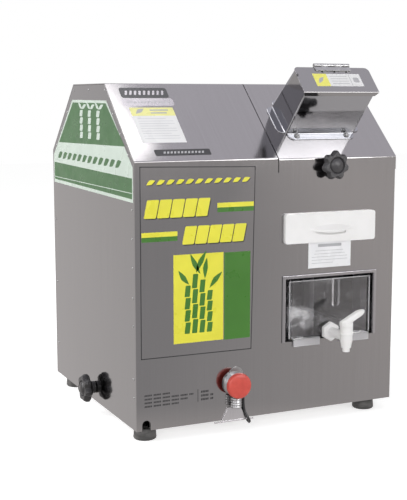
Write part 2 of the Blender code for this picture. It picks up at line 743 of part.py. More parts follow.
def roof_prism(outline, low_h, high_h, holes=()):
    """Outline in (x, s) on the roof's slope, extruded square to it."""
    bm = prism(outline, "Z", low_h, high_h, holes)
    for vert in bm.verts:
        x, s, h = vert.co - world(0, 0, 0)
        vert.co = roof_place(x, s, h)
    return bm


def hopper_box(body, steel):
    """Feed box square to the roof's slope; its walls end in tabs folded out along the roof."""
    walls = loft([hopper_loop(0, GAP), hopper_top_loop(0), hopper_top_loop(SHEET), hopper_loop(SHEET, GAP)],
                 closed=True)
    box = add("hopper_box", walls, steel, body)
    low_x, high_x = HOPPER_LEFT, HOPPER_RIGHT
    low_s, high_s = HOPPER_FRONT_S, HOPPER_BACK_S
    near = HOPPER_FOLD
    out = HOPPER_TAB
    outline = [(low_x + near, low_s), (low_x + near, low_s - out), (high_x - near, low_s - out),
               (high_x - near, low_s), (high_x, low_s + near), (high_x + out, low_s + near),
               (high_x + out, high_s - near), (high_x, high_s - near), (high_x - near, high_s),
               (high_x - near, high_s + out), (low_x + near, high_s + out), (low_x + near, high_s),
               (low_x, high_s - near), (low_x - out, high_s - near), (low_x - out, low_s + near),
               (low_x, low_s + near)]
    radii = [0, HOPPER_TAB_RADIUS, HOPPER_TAB_RADIUS, 0] * 4
    inner = hopper_ring(SHEET, HOPPER_BACK_S)
    join(box, roof_prism(fillet(outline, radii), GAP, GAP + SHEET, [inner]), "tabs")


def lid_point(along, lift):
    """Point over the hopper's rim: along from its front edge to the back, lifted square to the rim."""
    rise = HOPPER_BACK_H - HOPPER_FRONT_H
    run = HOPPER_TOP_BACK_S - HOPPER_FRONT_S
    length = hypot(rise, run)
    return (HOPPER_FRONT_S + (along * run - lift * rise) / length,
            HOPPER_FRONT_H + (along * rise + lift * run) / length)


RIM_LENGTH = hypot(HOPPER_BACK_H - HOPPER_FRONT_H, HOPPER_TOP_BACK_S - HOPPER_FRONT_S)
LID_HINGE_ALONG = RIM_LENGTH + LID_HINGE_RADIUS + GAP
LID_HINGE_LIFT = GAP + SHEET + GAP + SHEET / 2
LID_AXIS = slope_point(*lid_point(LID_HINGE_ALONG, LID_HINGE_LIFT))
COVER_HINGE_LIFT = GAP + SHEET / 2
COVER_AXIS = (BODY_DEPTH + COVER_HINGE_LIFT,
              EAVE_HEIGHT + COVER_HINGE_LIFT * (1 - sin(ROOF_ANGLE)) / cos(ROOF_ANGLE))


def lid_prism(outline, low_lift, high_lift):
    """Outline in (x, along) over the hopper's rim, extruded square to it."""
    bm = prism(outline, "Z", low_lift, high_lift)
    for vert in bm.verts:
        x, along, lift = vert.co - world(0, 0, 0)
        s, h = lid_point(along, lift)
        vert.co = roof_place(x, s, h)
    return bm


def lid_side(outline, low_x, high_x):
    """Outline in (along, lift), extruded along the hinge's direction."""
    points = [slope_point(*lid_point(along, lift)) for along, lift in outline]
    return prism(points, "X", low_x, high_x)


def hopper_lid(body, steel):
    """Lid plate with a lip folded down in front and a rounded cheek outside each side wall."""
    low_x, high_x = HOPPER_LEFT - LID_OVERHANG_SIDE, HOPPER_RIGHT + LID_OVERHANG_SIDE
    front, back = -LID_OVERHANG_FRONT, RIM_LENGTH
    corners = rectangle(low_x, high_x, front, back)
    outline = fillet(corners, [0, 0, LID_CORNER_RADIUS, LID_CORNER_RADIUS])
    lid = add("hopper_lid", lid_prism(outline, GAP, GAP + SHEET), steel, body)
    lip_inset = LID_LIP * 0.6
    lip = [(low_x + lip_inset, -LID_LIP), (high_x - lip_inset, -LID_LIP), (high_x, GAP + SHEET / 2),
           (low_x, GAP + SHEET / 2)]
    bm = prism(lip, "Y", front, front + SHEET)
    for vert in bm.verts:
        x, along, lift = vert.co - world(0, 0, 0)
        s, h = lid_point(along, lift)
        vert.co = roof_place(x, s, h)
    join(lid, bm, "lip")
    step = LID_CHEEK_DEPTH
    cheek_back = back - LID_CORNER_RADIUS - SHEET
    cheek = [(cheek_back, GAP + SHEET / 2), (front + 2 * SHEET, GAP + SHEET / 2),
             (RIM_LENGTH * 0.30, -step * 0.42), (RIM_LENGTH * 0.62, -step * 0.85), (cheek_back, -step)]
    cheek = fillet(cheek, [0, 0, step, step, SHEET])
    join(lid, lid_side(cheek, low_x, low_x + SHEET), "left_cheek")
    join(lid, lid_side(cheek, high_x - SHEET, high_x), "right_cheek")


def hinge_leaf(name, centre, direction, sizes, first, span, steel, body=None):
    """Leaf of a piano hinge with every second knuckle; sizes are leaf, barrel and pin."""
    leaf, radius, pin = sizes
    low_x, high_x = span
    along = Vector(direction)
    across = Vector((-along.y, along.x)) * (SHEET / 2)
    centre = Vector(centre)

    def strip(start, end):
        return [centre + along * start - across, centre + along * end - across,
                centre + along * end + across, centre + along * start + across]

    reach = radius + 2 * PIN_CLEARANCE
    made = add(name, prism(strip(reach, leaf), "X", low_x, high_x), steel, body)
    pitch = (high_x - low_x) / KNUCKLE_COUNT
    rings = []
    necks = []
    for index in range(first, KNUCKLE_COUNT, 2):
        start = low_x + index * pitch + PIN_CLEARANCE / 2
        end = start + pitch - PIN_CLEARANCE
        rings.append(tube("X", centre, radius, pin + PIN_CLEARANCE, start, end, SMALL_ROUND))
        necks.append(prism(strip((radius + pin + PIN_CLEARANCE) / 2, reach + SHEET), "X", start, end))
    join(made, merge(*necks), "necks")
    join(made, merge(*rings), "knuckles")


def lid_hinge(cover, lid, steel):
    """Small piano hinge behind the lid: one leaf on the lid, one down the hopper's back wall."""
    middle = (HOPPER_LEFT + HOPPER_RIGHT) / 2 + SHEET
    span = (middle - LID_HINGE_LENGTH / 2, middle + LID_HINGE_LENGTH / 2)
    sizes = (LID_HINGE_LEAF, LID_HINGE_RADIUS, LID_HINGE_PIN)
    top = Vector(slope_point(*lid_point(0, LID_HINGE_LIFT))) - Vector(LID_AXIS)
    hinge_leaf("lid_hinge_lid_leaf", LID_AXIS, top.normalized(), sizes, 1, span, steel, lid)
    rim = Vector(slope_point(HOPPER_TOP_BACK_S, HOPPER_BACK_H))
    foot = Vector(slope_point(HOPPER_BACK_S, 0))
    down = (foot - rim).normalized()
    outward = Vector((-down.y, down.x))
    if outward.x < 0:
        outward = -outward
    line = rim + outward * (GAP + SHEET / 2)
    touch = line + down * (Vector(LID_AXIS) - line).dot(down)
    shift = Vector(LID_AXIS) - touch
    wall_leaf = [touch + down * LID_HINGE_RADIUS, shift]
    bent_leaf("lid_hinge_wall_leaf", wall_leaf, down, sizes, span, steel, cover)
    pin = rod("X", LID_AXIS, LID_HINGE_PIN, span[0] - SHEET / 2, span[1] + SHEET / 2, SMALL_ROUND)
    add("lid_hinge_pin", pin, steel, cover)


def bent_leaf(name, place_and_shift, down, sizes, span, steel, body):
    """Leaf against the hopper's back wall with a short step up to its knuckles."""
    start, shift = place_and_shift
    leaf, radius, pin = sizes
    side = Vector((-down.y, down.x)) * (SHEET / 2)
    end = start + down * leaf
    plate = [start - side, end - side, end + side, start + side]
    made = add(name, prism(plate, "X", *span), steel, body)
    pitch = (span[1] - span[0]) / KNUCKLE_COUNT
    rings = []
    necks = []
    toward = start + down * SHEET - Vector(LID_AXIS)
    toward.normalize()
    across = Vector((-toward.y, toward.x)) * (SHEET / 2)
    near = Vector(LID_AXIS) + toward * ((radius + pin + PIN_CLEARANCE) / 2)
    far = start + down * SHEET
    for index in range(0, KNUCKLE_COUNT, 2):
        low = span[0] + index * pitch + PIN_CLEARANCE / 2
        high = low + pitch - PIN_CLEARANCE
        rings.append(tube("X", LID_AXIS, radius, pin + PIN_CLEARANCE, low, high, SMALL_ROUND))
        necks.append(prism([near - across, far - across, far + across, near + across], "X", low, high))
    join(made, merge(*necks), "necks")
    join(made, merge(*rings), "knuckles")


def cover_hinge(cover, steel):
    """Piano hinge along the rear eave that the roof cover tilts on."""
    span = (SEAM_X + COVER_HINGE_INSET, BODY_WIDTH - COVER_HINGE_INSET)
    sizes = (COVER_HINGE_LEAF, COVER_HINGE_RADIUS, COVER_HINGE_PIN)
    up_slope = (-cos(ROOF_ANGLE), sin(ROOF_ANGLE))
    hinge_leaf("cover_hinge_moving_leaf", COVER_AXIS, up_slope, sizes, 1, span, steel, cover)
    hinge_leaf("cover_hinge_fixed_leaf", COVER_AXIS, (0, -1), sizes, 0, span, steel)
    pin = rod("X", COVER_AXIS, COVER_HINGE_PIN, span[0] - SHEET, span[1] + SHEET, SMALL_ROUND)
    add("cover_hinge_pin", pin, steel)


# Star knobs


def star_ring(radius, lobe_depth, count, along, axis, centre, sign):
    """Loop of scene points round a knob, with its lobes."""
    loop = []
    for k in range(count):
        angle = 2 * pi * k / count
        wave = 0.5 + 0.5 * cos(KNOB_LOBES * angle)
        u, v = polar(centre, radius - lobe_depth * (1 - wave) ** 1.4, angle + pi / 2)
        loop.append(place(axis, u, v, sign * along))
    return loop


def star_knob(name, axis, centre, seat, hub, stud_end, black, body):
    """Star knob facing -axis: hub behind, dished face, domed middle, and its moulded-in stud."""
    count = KNOB_LOBES * 6
    depth = KNOB_RADIUS * 0.21
    back = seat + hub
    front = back + KNOB_RIM
    steps = [(KNOB_HUB_RADIUS, 0, seat), (KNOB_HUB_RADIUS, 0, back - KNOB_RIM * 0.2),
             (KNOB_RADIUS * 0.86, depth, back), (KNOB_RADIUS, depth, back + KNOB_RIM * 0.25),
             (KNOB_RADIUS, depth, back + KNOB_RIM * 0.65), (KNOB_RADIUS * 0.88, depth, front),
             (KNOB_RADIUS * 0.58, 0, front), (KNOB_RADIUS * 0.52, 0, front - KNOB_RIM * 0.22),
             (KNOB_RADIUS * 0.44, 0, front), (KNOB_RADIUS * 0.30, 0, front + KNOB_DOME * 0.75)]
    loops = [star_ring(r, d, count, a, axis, centre, -1) for r, d, a in steps]
    loops.append([place(axis, *centre, -front - KNOB_DOME)])
    knob = add(name, loft(loops), black, body)
    tip = STUD_RADIUS * 0.25
    profile = [(STUD_RADIUS, -back), (STUD_RADIUS, stud_end - tip), (STUD_RADIUS - tip, stud_end)]
    join(knob, turned(profile, axis, centre, SMALL_ROUND), "stud")


# Emergency stop


def estop(plunger, twist, red, silver, black):
    centre = (ESTOP_X, ESTOP_Z)
    seat = -GAP
    face = seat - ESTOP_BEZEL_DEPTH
    profile = [(ESTOP_BEZEL_RADIUS, seat), (ESTOP_BEZEL_RADIUS, seat - ESTOP_BEZEL_DEPTH * 0.35),
               (ESTOP_BEZEL_RADIUS * 0.82, face), (ESTOP_STEM_RADIUS + PIN_CLEARANCE, face),
               (ESTOP_STEM_RADIUS + PIN_CLEARANCE, seat)]
    bezel = add("estop_bezel", turned(profile, "Y", centre, ROUND, True), silver)
    tab_half = ESTOP_BEZEL_RADIUS * 0.62
    tab_x = ESTOP_X + LEGEND_SIDE
    tab = rectangle(tab_x - tab_half, tab_x + tab_half, ESTOP_Z + ESTOP_STEM_RADIUS * 1.6,
                    ESTOP_Z + LEGEND_TOP)
    tab = fillet(tab, [0, 0, tab_half * 0.95, tab_half * 0.95])
    join(bezel, prism(tab, "Y", seat - SHEET, seat), "legend_tab")
    start = -ESTOP_HEAD_START
    end = start - ESTOP_HEAD_DEPTH
    radius = ESTOP_HEAD_RADIUS
    profile = [(radius * 0.80, start), (radius * 0.97, start - ESTOP_HEAD_DEPTH * 0.12),
               (radius, start - ESTOP_HEAD_DEPTH * 0.35), (radius * 0.96, end + ESTOP_HEAD_DEPTH * 0.22),
               (radius * 0.82, end + ESTOP_HEAD_DEPTH * 0.05), (radius * 0.45, end), (0, end)]
    head = add("estop_head", turned(profile, "Y", centre, ROUND + SMALL_ROUND // 2), red, twist)
    socket = rod("Y", centre, ESTOP_STEM_RADIUS + GAP, start - ESTOP_HEAD_DEPTH * 0.5, 0)
    cut(head, socket, "stem_socket")
    block_start = SHEET + GAP
    stem_end = block_start + ESTOP_BLOCK * 0.35
    stem_start = start - ESTOP_HEAD_DEPTH * 0.5 + GAP
    add("estop_plunger", rod("Y", centre, ESTOP_STEM_RADIUS, stem_start, stem_end), black, plunger)
    half = ESTOP_BLOCK / 2
    contact = prism(rectangle(ESTOP_X - half, ESTOP_X + half, ESTOP_Z - half, ESTOP_Z + half, half * 0.15),
                    "Y", block_start, block_start + ESTOP_BLOCK)
    contact = add("estop_contact_block", contact, black)
    bore = rod("Y", centre, ESTOP_STEM_RADIUS + PIN_CLEARANCE, 0, stem_end + ESTOP_TRAVEL + GAP)
    cut(contact, bore, "plunger_bore")
    strap_and_gland(bezel, silver)
    button_cable(black)


def strap_and_gland(bezel, silver):
    """Strap down to the cabinet's bottom edge, and the ribbed gland that hangs from the bezel."""
    wide = STRAP_BOTTOM_WIDTH / 2
    narrow = STRAP_TOP_WIDTH / 2
    foot = -STRAP_DROP
    outline = [(ESTOP_X - wide, foot), (ESTOP_X + wide, foot), (ESTOP_X + narrow, STRAP_TOP_Z),
               (ESTOP_X - narrow, STRAP_TOP_Z)]
    strap = add("estop_strap", prism(outline, "Y", -GAP - STRAP_THICKNESS, -GAP), silver)
    reach = STRAP_LIP_WIDTH / 2
    lip = block(ESTOP_X - reach, ESTOP_X + reach, -STRAP_LIP, -GAP, foot, foot + STRAP_THICKNESS)
    join(strap, lip, "lip")
    neck_y = -GAP - ESTOP_NECK_RADIUS
    low = ESTOP_GLAND_BOTTOM + STRAP_THICKNESS
    high = ESTOP_Z - ESTOP_HEAD_RADIUS - 2 * GAP
    neck = rod("Z", (ESTOP_X, neck_y), ESTOP_NECK_RADIUS, high - STRAP_THICKNESS,
               ESTOP_Z - ESTOP_BEZEL_RADIUS * 0.85, SMALL_ROUND)
    profile = []
    pitch = (high - low) / ESTOP_GLAND_RIBS
    for k in range(ESTOP_GLAND_RIBS):
        profile.append((ESTOP_GLAND_RADIUS * 0.90, low + k * pitch))
        profile.append((ESTOP_GLAND_RADIUS, low + (k + 0.5) * pitch))
    profile.append((ESTOP_GLAND_RADIUS * 0.90, high))
    sleeve = turned(profile, "Z", (ESTOP_X, -GAP - ESTOP_GLAND_RADIUS), SMALL_ROUND + 2)
    join(bezel, neck, "neck")
    join(bezel, sleeve, "gland")


def button_cable(black):
    """Cable from the bezel's right side, down the wall and under its edge into the cabinet."""
    thick = ESTOP_CABLE_RADIUS
    x = ESTOP_X + ESTOP_CABLE_SIDE
    top = ESTOP_Z - ESTOP_BEZEL_RADIUS * 0.72
    out = -STRAP_LIP - 1.6 * thick
    near = -GAP - 1.6 * thick
    under = -STRAP_DROP - 2.3 * thick
    route = [(x, near, top), (x, near, top * 0.75), (x + 0.2 * thick, near, top * 0.5),
             (x + 1.2 * thick, near, top * 0.26), (x + 3.0 * thick, out, top * 0.06),
             (x + 4.6 * thick, out, -STRAP_DROP), (x + 5.4 * thick, out / 2, under),
             (x + 6.0 * thick, 2 * thick, under), (x + 6.2 * thick, 5 * thick, under * 0.7),
             (x + 6.3 * thick, 6 * thick, -2 * GAP), (x + 6.3 * thick, 6 * thick, PAN_Z - 2 * GAP)]
    smooth_cable("estop_cable", route, thick, black)


def smooth_cable(name, route, radius, material, samples=4):
    """Tube along a Catmull-Rom curve through a few hand-set points."""
    points = [Vector(place("Z", *p)) for p in route]
    points = [2 * points[0] - points[1], *points, 2 * points[-1] - points[-2]]
    path = []
    for k in range(1, len(points) - 2):
        for j in range(samples):
            t = j / samples
            a, b, c, d = points[k - 1:k + 3]
            path.append(0.5 * (2 * b + (c - a) * t + (2 * a - 5 * b + 4 * c - d) * t * t
                               + (3 * b - a - 3 * c + d) * t ** 3))
    path.append(points[-2])
    loops = []
    for k, point in enumerate(path):
        ahead = (path[min(k + 1, len(path) - 1)] - path[max(k - 1, 0)]).normalized()
        side = ahead.cross(Vector((0, 1, 0))).normalized()
        other = side.cross(ahead)
        loops.append([point + side * radius * cos(2 * pi * j / 7) + other * radius * sin(2 * pi * j / 7)
                      for j in range(7)])
    add(name, loft(loops), material)


# Strainer drawer and juice tank


def strainer_drawer(body, white, steel):
    """White plastic drawer with a finger pull; its open floor carries the perforated strainer."""
    low_x = DRAWER_CENTRE_X - DRAWER_TRAY_WIDTH / 2
    high_x = DRAWER_CENTRE_X + DRAWER_TRAY_WIDTH / 2
    floor = DRAWER_TRAY_BOTTOM
    rim = floor + DRAWER_TRAY_HEIGHT
    half = DRAWER_FRONT_WIDTH / 2
    back_of_plate = -GAP
    plate = rectangle(DRAWER_CENTRE_X - half, DRAWER_CENTRE_X + half, DRAWER_FRONT_BOTTOM,
                      DRAWER_FRONT_BOTTOM + DRAWER_FRONT_HEIGHT, DRAWER_CORNER)
    drawer = add("strainer_drawer", prism(plate, "Y", back_of_plate - DRAWER_FRONT_THICKNESS, back_of_plate),
                 white, body)
    tray = block(low_x, high_x, back_of_plate - DRAWER_WALL / 2, DRAWER_TRAY_LENGTH, floor, rim)
    join(drawer, tray, "tray")
    wall = DRAWER_WALL
    cut(drawer, block(low_x + wall, high_x - wall, wall, DRAWER_TRAY_LENGTH - wall, floor + wall, rim + wall),
        "hollow")
    inset = DRAWER_OUTLET_INSET
    cut(drawer, block(low_x + inset, high_x - inset, inset, DRAWER_TRAY_LENGTH - inset, floor - wall,
                      floor + 2 * wall), "outlet")
    face = back_of_plate - DRAWER_FRONT_THICKNESS
    middle = DRAWER_FRONT_BOTTOM + DRAWER_FRONT_HEIGHT * 0.48
    join(drawer, drawer_pull(face, middle, 1.0, 0.0), "pull")
    cut(drawer, drawer_pull(face, middle, PULL_ROOM, PULL_WALL), "finger_room")
    screen_low_x, screen_high_x = low_x + wall + GAP, high_x - wall - GAP
    screen_low_y, screen_high_y = wall + GAP, DRAWER_TRAY_LENGTH - wall - GAP
    seat = floor + wall + GAP
    slots = []
    pitch_x = (screen_high_x - screen_low_x - 2 * inset) / SCREEN_SLOTS_X
    pitch_y = (screen_high_y - screen_low_y - 2 * inset) / SCREEN_SLOTS_Y
    for column in range(SCREEN_SLOTS_X):
        for row in range(SCREEN_SLOTS_Y):
            x = screen_low_x + inset + (column + 0.5) * pitch_x
            y = screen_low_y + inset + (row + 0.5) * pitch_y
            slots.append(rectangle(x - pitch_x * 0.2, x + pitch_x * 0.2,
                                   y - pitch_y * 0.38, y + pitch_y * 0.38))
    sheet = prism(rectangle(screen_low_x, screen_high_x, screen_low_y, screen_high_y), "Z", seat,
                  seat + SCREEN_THICKNESS, slots)
    screen = add("strainer_screen", sheet, steel, body)
    inner = rectangle(screen_low_x + SCREEN_THICKNESS, screen_high_x - SCREEN_THICKNESS,
                      screen_low_y + SCREEN_THICKNESS, screen_high_y - SCREEN_THICKNESS)
    outer = rectangle(screen_low_x, screen_high_x, screen_low_y, screen_high_y)
    join(screen, prism(outer, "Z", seat, seat + SCREEN_RIM, [inner]), "rim")


def drawer_pull(face, middle, share, wall):
    """Lens-shaped lip that swells out of the drawer's front; drawn in by a wall it is the finger room."""
    loops = []
    half = PULL_WIDTH / 2 * share
    back = face + DRAWER_FRONT_THICKNESS * 0.4 if wall else face + SHEET
    for k in range(PULL_STEPS + 1):
        across = -1 + 2 * k / PULL_STEPS
        swell = max(1 - (across * share) ** 2, 0.06)
        out = face - PULL_DEPTH * swell + wall
        low = middle - PULL_HEIGHT * (0.18 + 0.32 * swell) - 2 * wall
        high = middle + PULL_HEIGHT * (0.18 + 0.32 * swell) - 2 * wall
        edge = low + PULL_HEIGHT * 0.30 * swell + wall
        x = DRAWER_CENTRE_X + across * half
        brow = face - PULL_DEPTH * swell * 0.35 + wall
        loops.append([world(x, back, low), world(x, out, low), world(x, out, edge),
                      world(x, brow, (edge + high) / 2), world(x, back, high)])
    return loft(loops)


def juice_tank(body, clear):
    """Open-topped clear tank behind the window, with a moulded rib and a hole for the tap."""
    low_x, high_x = TANK_CENTRE_X - TANK_WIDTH / 2, TANK_CENTRE_X + TANK_WIDTH / 2
    low_y, high_y = TANK_RECESS, TANK_RECESS + TANK_DEPTH
    bottom = WINDOW_BOTTOM + SHEET + TANK_CLEARANCE
    top = bottom + TANK_HEIGHT
    outer = rectangle(low_x, high_x, low_y, high_y, TANK_CORNER)
    tank = add("juice_tank", prism(outer, "Z", bottom, top), clear, body)
    wall = TANK_WALL
    inner = rectangle(low_x + wall, high_x - wall, low_y + wall, high_y - wall, TANK_CORNER - wall)
    cut(tank, prism(inner, "Z", bottom + wall, top + wall), "hollow")
    rib = circle((TAP_X + TANK_RIB_X, low_y + wall), TANK_RIB_RADIUS, SMALL_ROUND)
    join(tank, prism(rib, "Z", top - TANK_RIB_HEIGHT, top - GAP), "rib")
    trim = block(low_x, high_x, low_y - 2 * TANK_RIB_RADIUS, low_y, bottom, top + wall)
    cut(tank, trim, "rib_trim")
    tank_lip(tank, low_x + TANK_CORNER, high_x - TANK_CORNER, bottom)
    cut(tank, rod("Y", (TAP_X, TAP_Z), TAP_THREAD_RADIUS + GAP, low_y - wall, low_y + 2 * wall), "tap_hole")


def tank_lip(tank, low_x, high_x, bottom):
    """Lip that hangs over the window's bottom edge on both sides of the tap."""
    back = TANK_RECESS + TANK_WALL / 2
    front = -GAP - TANK_LIP_DEPTH
    foot = WINDOW_BOTTOM - TANK_LIP_DROP
    outline = [(back, bottom), (back, bottom + TANK_WALL), (front + GAP, bottom + TANK_WALL), (front, bottom),
               (front, foot), (-2 * GAP, foot), (-2 * GAP, bottom)]
    join(tank, prism(outline, "X", low_x, TAP_X - TANK_LIP_ROOM), "left_lip")
    join(tank, prism(outline, "X", TAP_X + TANK_LIP_ROOM, high_x), "right_lip")


def tap(tank, plug_body, white):
    """Quarter-turn tap: barrel with a hexagonal collar, lock nut, and a plug with lever and outlet."""
    centre = (TAP_X, TAP_Z)
    axis = (TAP_X, TAP_AXIS_Y)
    top = TAP_Z + TAP_BARREL_TOP
    bottom = TAP_Z + TAP_BARREL_BOTTOM
    wide = TAP_BARREL_RADIUS
    ring = TAP_Z + TAP_BARREL_TOP * 0.25
    slim = wide - TAP_RING
    profile = [(wide * 0.70, bottom), (wide * 0.86, ring - wide * 0.9), (wide * 0.88, ring),
               (wide, ring + TAP_RING), (wide, ring + 3 * TAP_RING), (slim, ring + 4 * TAP_RING), (slim, top)]
    barrel = add("tap_body", turned(profile, "Z", axis), white, tank)
    shoulder = TANK_RECESS - GAP
    nut_start = TANK_RECESS + TANK_WALL + GAP
    neck = [(TAP_NECK_RADIUS, TAP_AXIS_Y + TAP_PLUG_RADIUS), (TAP_NECK_RADIUS, shoulder),
            (TAP_THREAD_RADIUS, shoulder), (TAP_THREAD_RADIUS, nut_start + TAP_NUT_LENGTH + GAP)]
    join(barrel, turned(neck, "Y", centre), "neck")
    end = -2 * GAP - TAP_COLLAR_LENGTH
    collar = [(TAP_COLLAR_RADIUS * 0.86, end), (TAP_COLLAR_RADIUS, end + TAP_COLLAR_LENGTH * 0.22),
              (TAP_COLLAR_RADIUS, -2 * GAP)]
    join(barrel, turned(collar, "Y", centre, 6, turn=pi / 2), "collar")
    step = bottom + TAP_BARREL_RADIUS * 0.6
    bore = [(TAP_OUTLET_RADIUS + GAP, bottom - step), (TAP_OUTLET_RADIUS + GAP, step),
            (TAP_PLUG_RADIUS + GAP, step + TAP_PLUG_RADIUS / 4), (TAP_PLUG_RADIUS + GAP, 2 * top)]
    cut(barrel, turned(bore, "Z", axis), "plug_bore")
    cut(barrel, rod("Y", centre, TAP_BORE_RADIUS, TAP_AXIS_Y, nut_start + 2 * TAP_NUT_LENGTH), "juice_bore")
    nut = prism(circle(centre, TAP_NUT_RADIUS, 6), "Y", nut_start, nut_start + TAP_NUT_LENGTH,
                [circle(centre, TAP_THREAD_RADIUS + GAP)])
    add("tap_nut", nut, white, tank)
    foot = TAP_Z + TAP_OUTLET_BOTTOM
    seat = top + GAP
    cap_end = seat + TAP_CAP_HEIGHT
    profile = [(TAP_OUTLET_RADIUS * 0.92, foot), (TAP_OUTLET_RADIUS, foot + SHEET),
               (TAP_OUTLET_RADIUS, step + GAP), (TAP_PLUG_RADIUS, step + TAP_PLUG_RADIUS / 4 + GAP),
               (TAP_PLUG_RADIUS, seat), (slim, seat), (slim, cap_end - SHEET), (slim * 0.86, cap_end)]
    plug = add("tap_plug", turned(profile, "Z", axis), white, plug_body)
    thick = TAP_LEVER_THICKNESS
    loops = []
    for along, width, rise, share in (
            (-0.33, 0.70, 0.02, 1.0), (-0.10, 1.0, 0.20, 1.0), (0.30, 1.0, 0.58, 1.0),
            (0.62, 0.92, 0.88, 0.98), (0.88, 0.80, 1.0, 0.80), (1.0, 0.50, 0.97, 0.45)):
        half = TAP_LEVER_WIDTH / 2 * width
        high = cap_end + GAP + TAP_LEVER_RISE * rise
        low = max(high - thick * share, seat + GAP)
        lip = half * 0.35
        loop = [(-half, low + lip), (-half + lip, low), (half - lip, low), (half, low + lip),
                (half, high - lip), (half - lip, high), (-half + lip, high), (-half, high - lip)]
        x = TAP_X + along * TAP_LEVER_LENGTH
        loops.append([world(x, TAP_AXIS_Y + v, w) for v, w in loop])
    join(plug, loft(loops), "lever")
    cut(plug, rod("Z", axis, TAP_BORE_RADIUS, foot - SHEET, TAP_Z, SMALL_ROUND), "outlet_bore")
    port = rod("X", (TAP_AXIS_Y, TAP_Z), TAP_BORE_RADIUS * 0.9, TAP_X - TAP_PLUG_RADIUS * 2, TAP_X,
               SMALL_ROUND)
    cut(plug, port, "side_port")


# Mill


def gear_outline(centre, module, teeth, turn):
    """Involute gear seen along its axis; one tooth is centred on the angle given."""
    pitch = module * teeth / 2
    base = pitch * cos(PRESSURE_ANGLE)
    root = pitch - 1.25 * module
    tip = pitch + module
    half_pitch = pi / (2 * teeth) - BACKLASH / (2 * pitch)

    def half_width(radius):
        turn_in = tan(PRESSURE_ANGLE) - PRESSURE_ANGLE
        if radius <= base:
            return half_pitch + turn_in
        angle = acos(base / radius)
        return half_pitch + turn_in - (tan(angle) - angle)

    radii = [root, pitch, tip]
    points = []
    for tooth in range(teeth):
        middle = turn + 2 * pi * tooth / teeth
        points += [polar(centre, r, middle - half_width(r)) for r in radii]
        points += [polar(centre, r, middle + half_width(r)) for r in radii[::-1]]
    return points


def meshed_turn(angle, other_turn, other_teeth, teeth):
    """Turn that puts a gear's gap on the other gear's tooth, seen from the other gear at an angle."""
    return angle + pi - (other_turn - angle) * other_teeth / teeth - pi / teeth


def gear(name, centre, module, teeth, turn, low, high, steel, body):
    outline = gear_outline(centre, module, teeth, turn)
    bore = circle(centre, SHAFT_RADIUS + GAP, ROUND)
    made = add(name, prism(outline, "X", low, high, [bore]), steel, body)
    hub = tube("X", centre, SHAFT_RADIUS * 1.7, SHAFT_RADIUS + GAP, low - GEAR_SPACE / 2, low + GEAR_SPACE)
    join(made, hub, "hub")


def roller(name, centre, left_end, right_end, steel, body):
    """Grooved crushing roller turned in one piece with its shaft."""
    outline = []
    step = 2 * pi / ROLL_GROOVES
    inner = ROLL_RADIUS - ROLL_GROOVE_DEPTH
    for k in range(ROLL_GROOVES):
        middle = k * step
        outline += [polar(centre, ROLL_RADIUS, middle + step * share) for share in (-0.36, 0, 0.36)]
        outline.append(polar(centre, inner, middle + step * 0.5))
    made = add(name, prism(outline, "X", ROLL_LEFT, ROLL_RIGHT), steel, body)
    join(made, rod("X", centre, SHAFT_RADIUS, left_end, right_end), "shaft")


def mill(bodies, steel, cast):
    """Three rollers between two cheek plates, geared together on the left."""
    shaft_right = CHEEK_RIGHT_OUT + BOSS_HEIGHT + GAP
    drive_end = DRIVE_PLATE_LEFT - BOSS_HEIGHT
    roller("main_roller", MAIN_AXIS, drive_end, shaft_right, cast, bodies["main_roll"])
    roller("feed_roller", FEED_AXIS, MILL_GEAR_LEFT - GEAR_SPACE / 2, shaft_right, cast, bodies["feed_roll"])
    roller("discharge_roller", DISCHARGE_AXIS, MILL_GEAR_LEFT - GEAR_SPACE / 2, shaft_right, cast,
           bodies["discharge_roll"])
    teeth = MILL_TEETH
    span = (MILL_GEAR_LEFT, MILL_GEAR_RIGHT)
    main_turn = FEED_TURN
    gear("main_mill_gear", MAIN_AXIS, MILL_MODULE, teeth, main_turn, *span, steel, bodies["main_roll"])
    gear("feed_mill_gear", FEED_AXIS, MILL_MODULE, teeth, meshed_turn(FEED_TURN, main_turn, teeth, teeth),
         *span, steel, bodies["feed_roll"])
    gear("discharge_mill_gear", DISCHARGE_AXIS, MILL_MODULE, teeth,
         meshed_turn(DISCHARGE_ANGLE, main_turn, teeth, teeth), *span, steel, bodies["discharge_roll"])
    bull_turn = PINION_DIRECTION
    bull_span = (BULL_LEFT, BULL_RIGHT)
    gear("bull_gear", MAIN_AXIS, BULL_MODULE, BULL_TEETH, bull_turn, *bull_span, cast, bodies["main_roll"])
    pinion_turn = meshed_turn(PINION_DIRECTION, bull_turn, BULL_TEETH, PINION_TEETH)
    teeth = gear_outline(PINION_AXIS, BULL_MODULE, PINION_TEETH, pinion_turn)
    pinion = add("pinion_shaft", prism(teeth, "X", *bull_span), steel, bodies["countershaft"])
    join(pinion, rod("X", PINION_AXIS, SHAFT_RADIUS, PULLEY_LEFT, CHEEK_LEFT_IN), "shaft")


def cheek_outline():
    """Plate that follows the roof above the rollers."""
    (front_run, front_fall), (rear_run, rear_fall) = CHEEK_SLOPES
    front_round, rear_round = CHEEK_CORNERS
    corners = [(CHEEK_FRONT_Y, CHEEK_BOTTOM_Z), (CHEEK_REAR_Y, CHEEK_BOTTOM_Z),
               (CHEEK_REAR_Y, CHEEK_TOP_Z - rear_fall), (CHEEK_REAR_Y - rear_run, CHEEK_TOP_Z),
               (CHEEK_FRONT_Y + front_run, CHEEK_TOP_Z), (CHEEK_FRONT_Y, CHEEK_TOP_Z - front_fall)]
    return fillet(corners, [0, 0, rear_round, rear_round, front_round, front_round], 3)


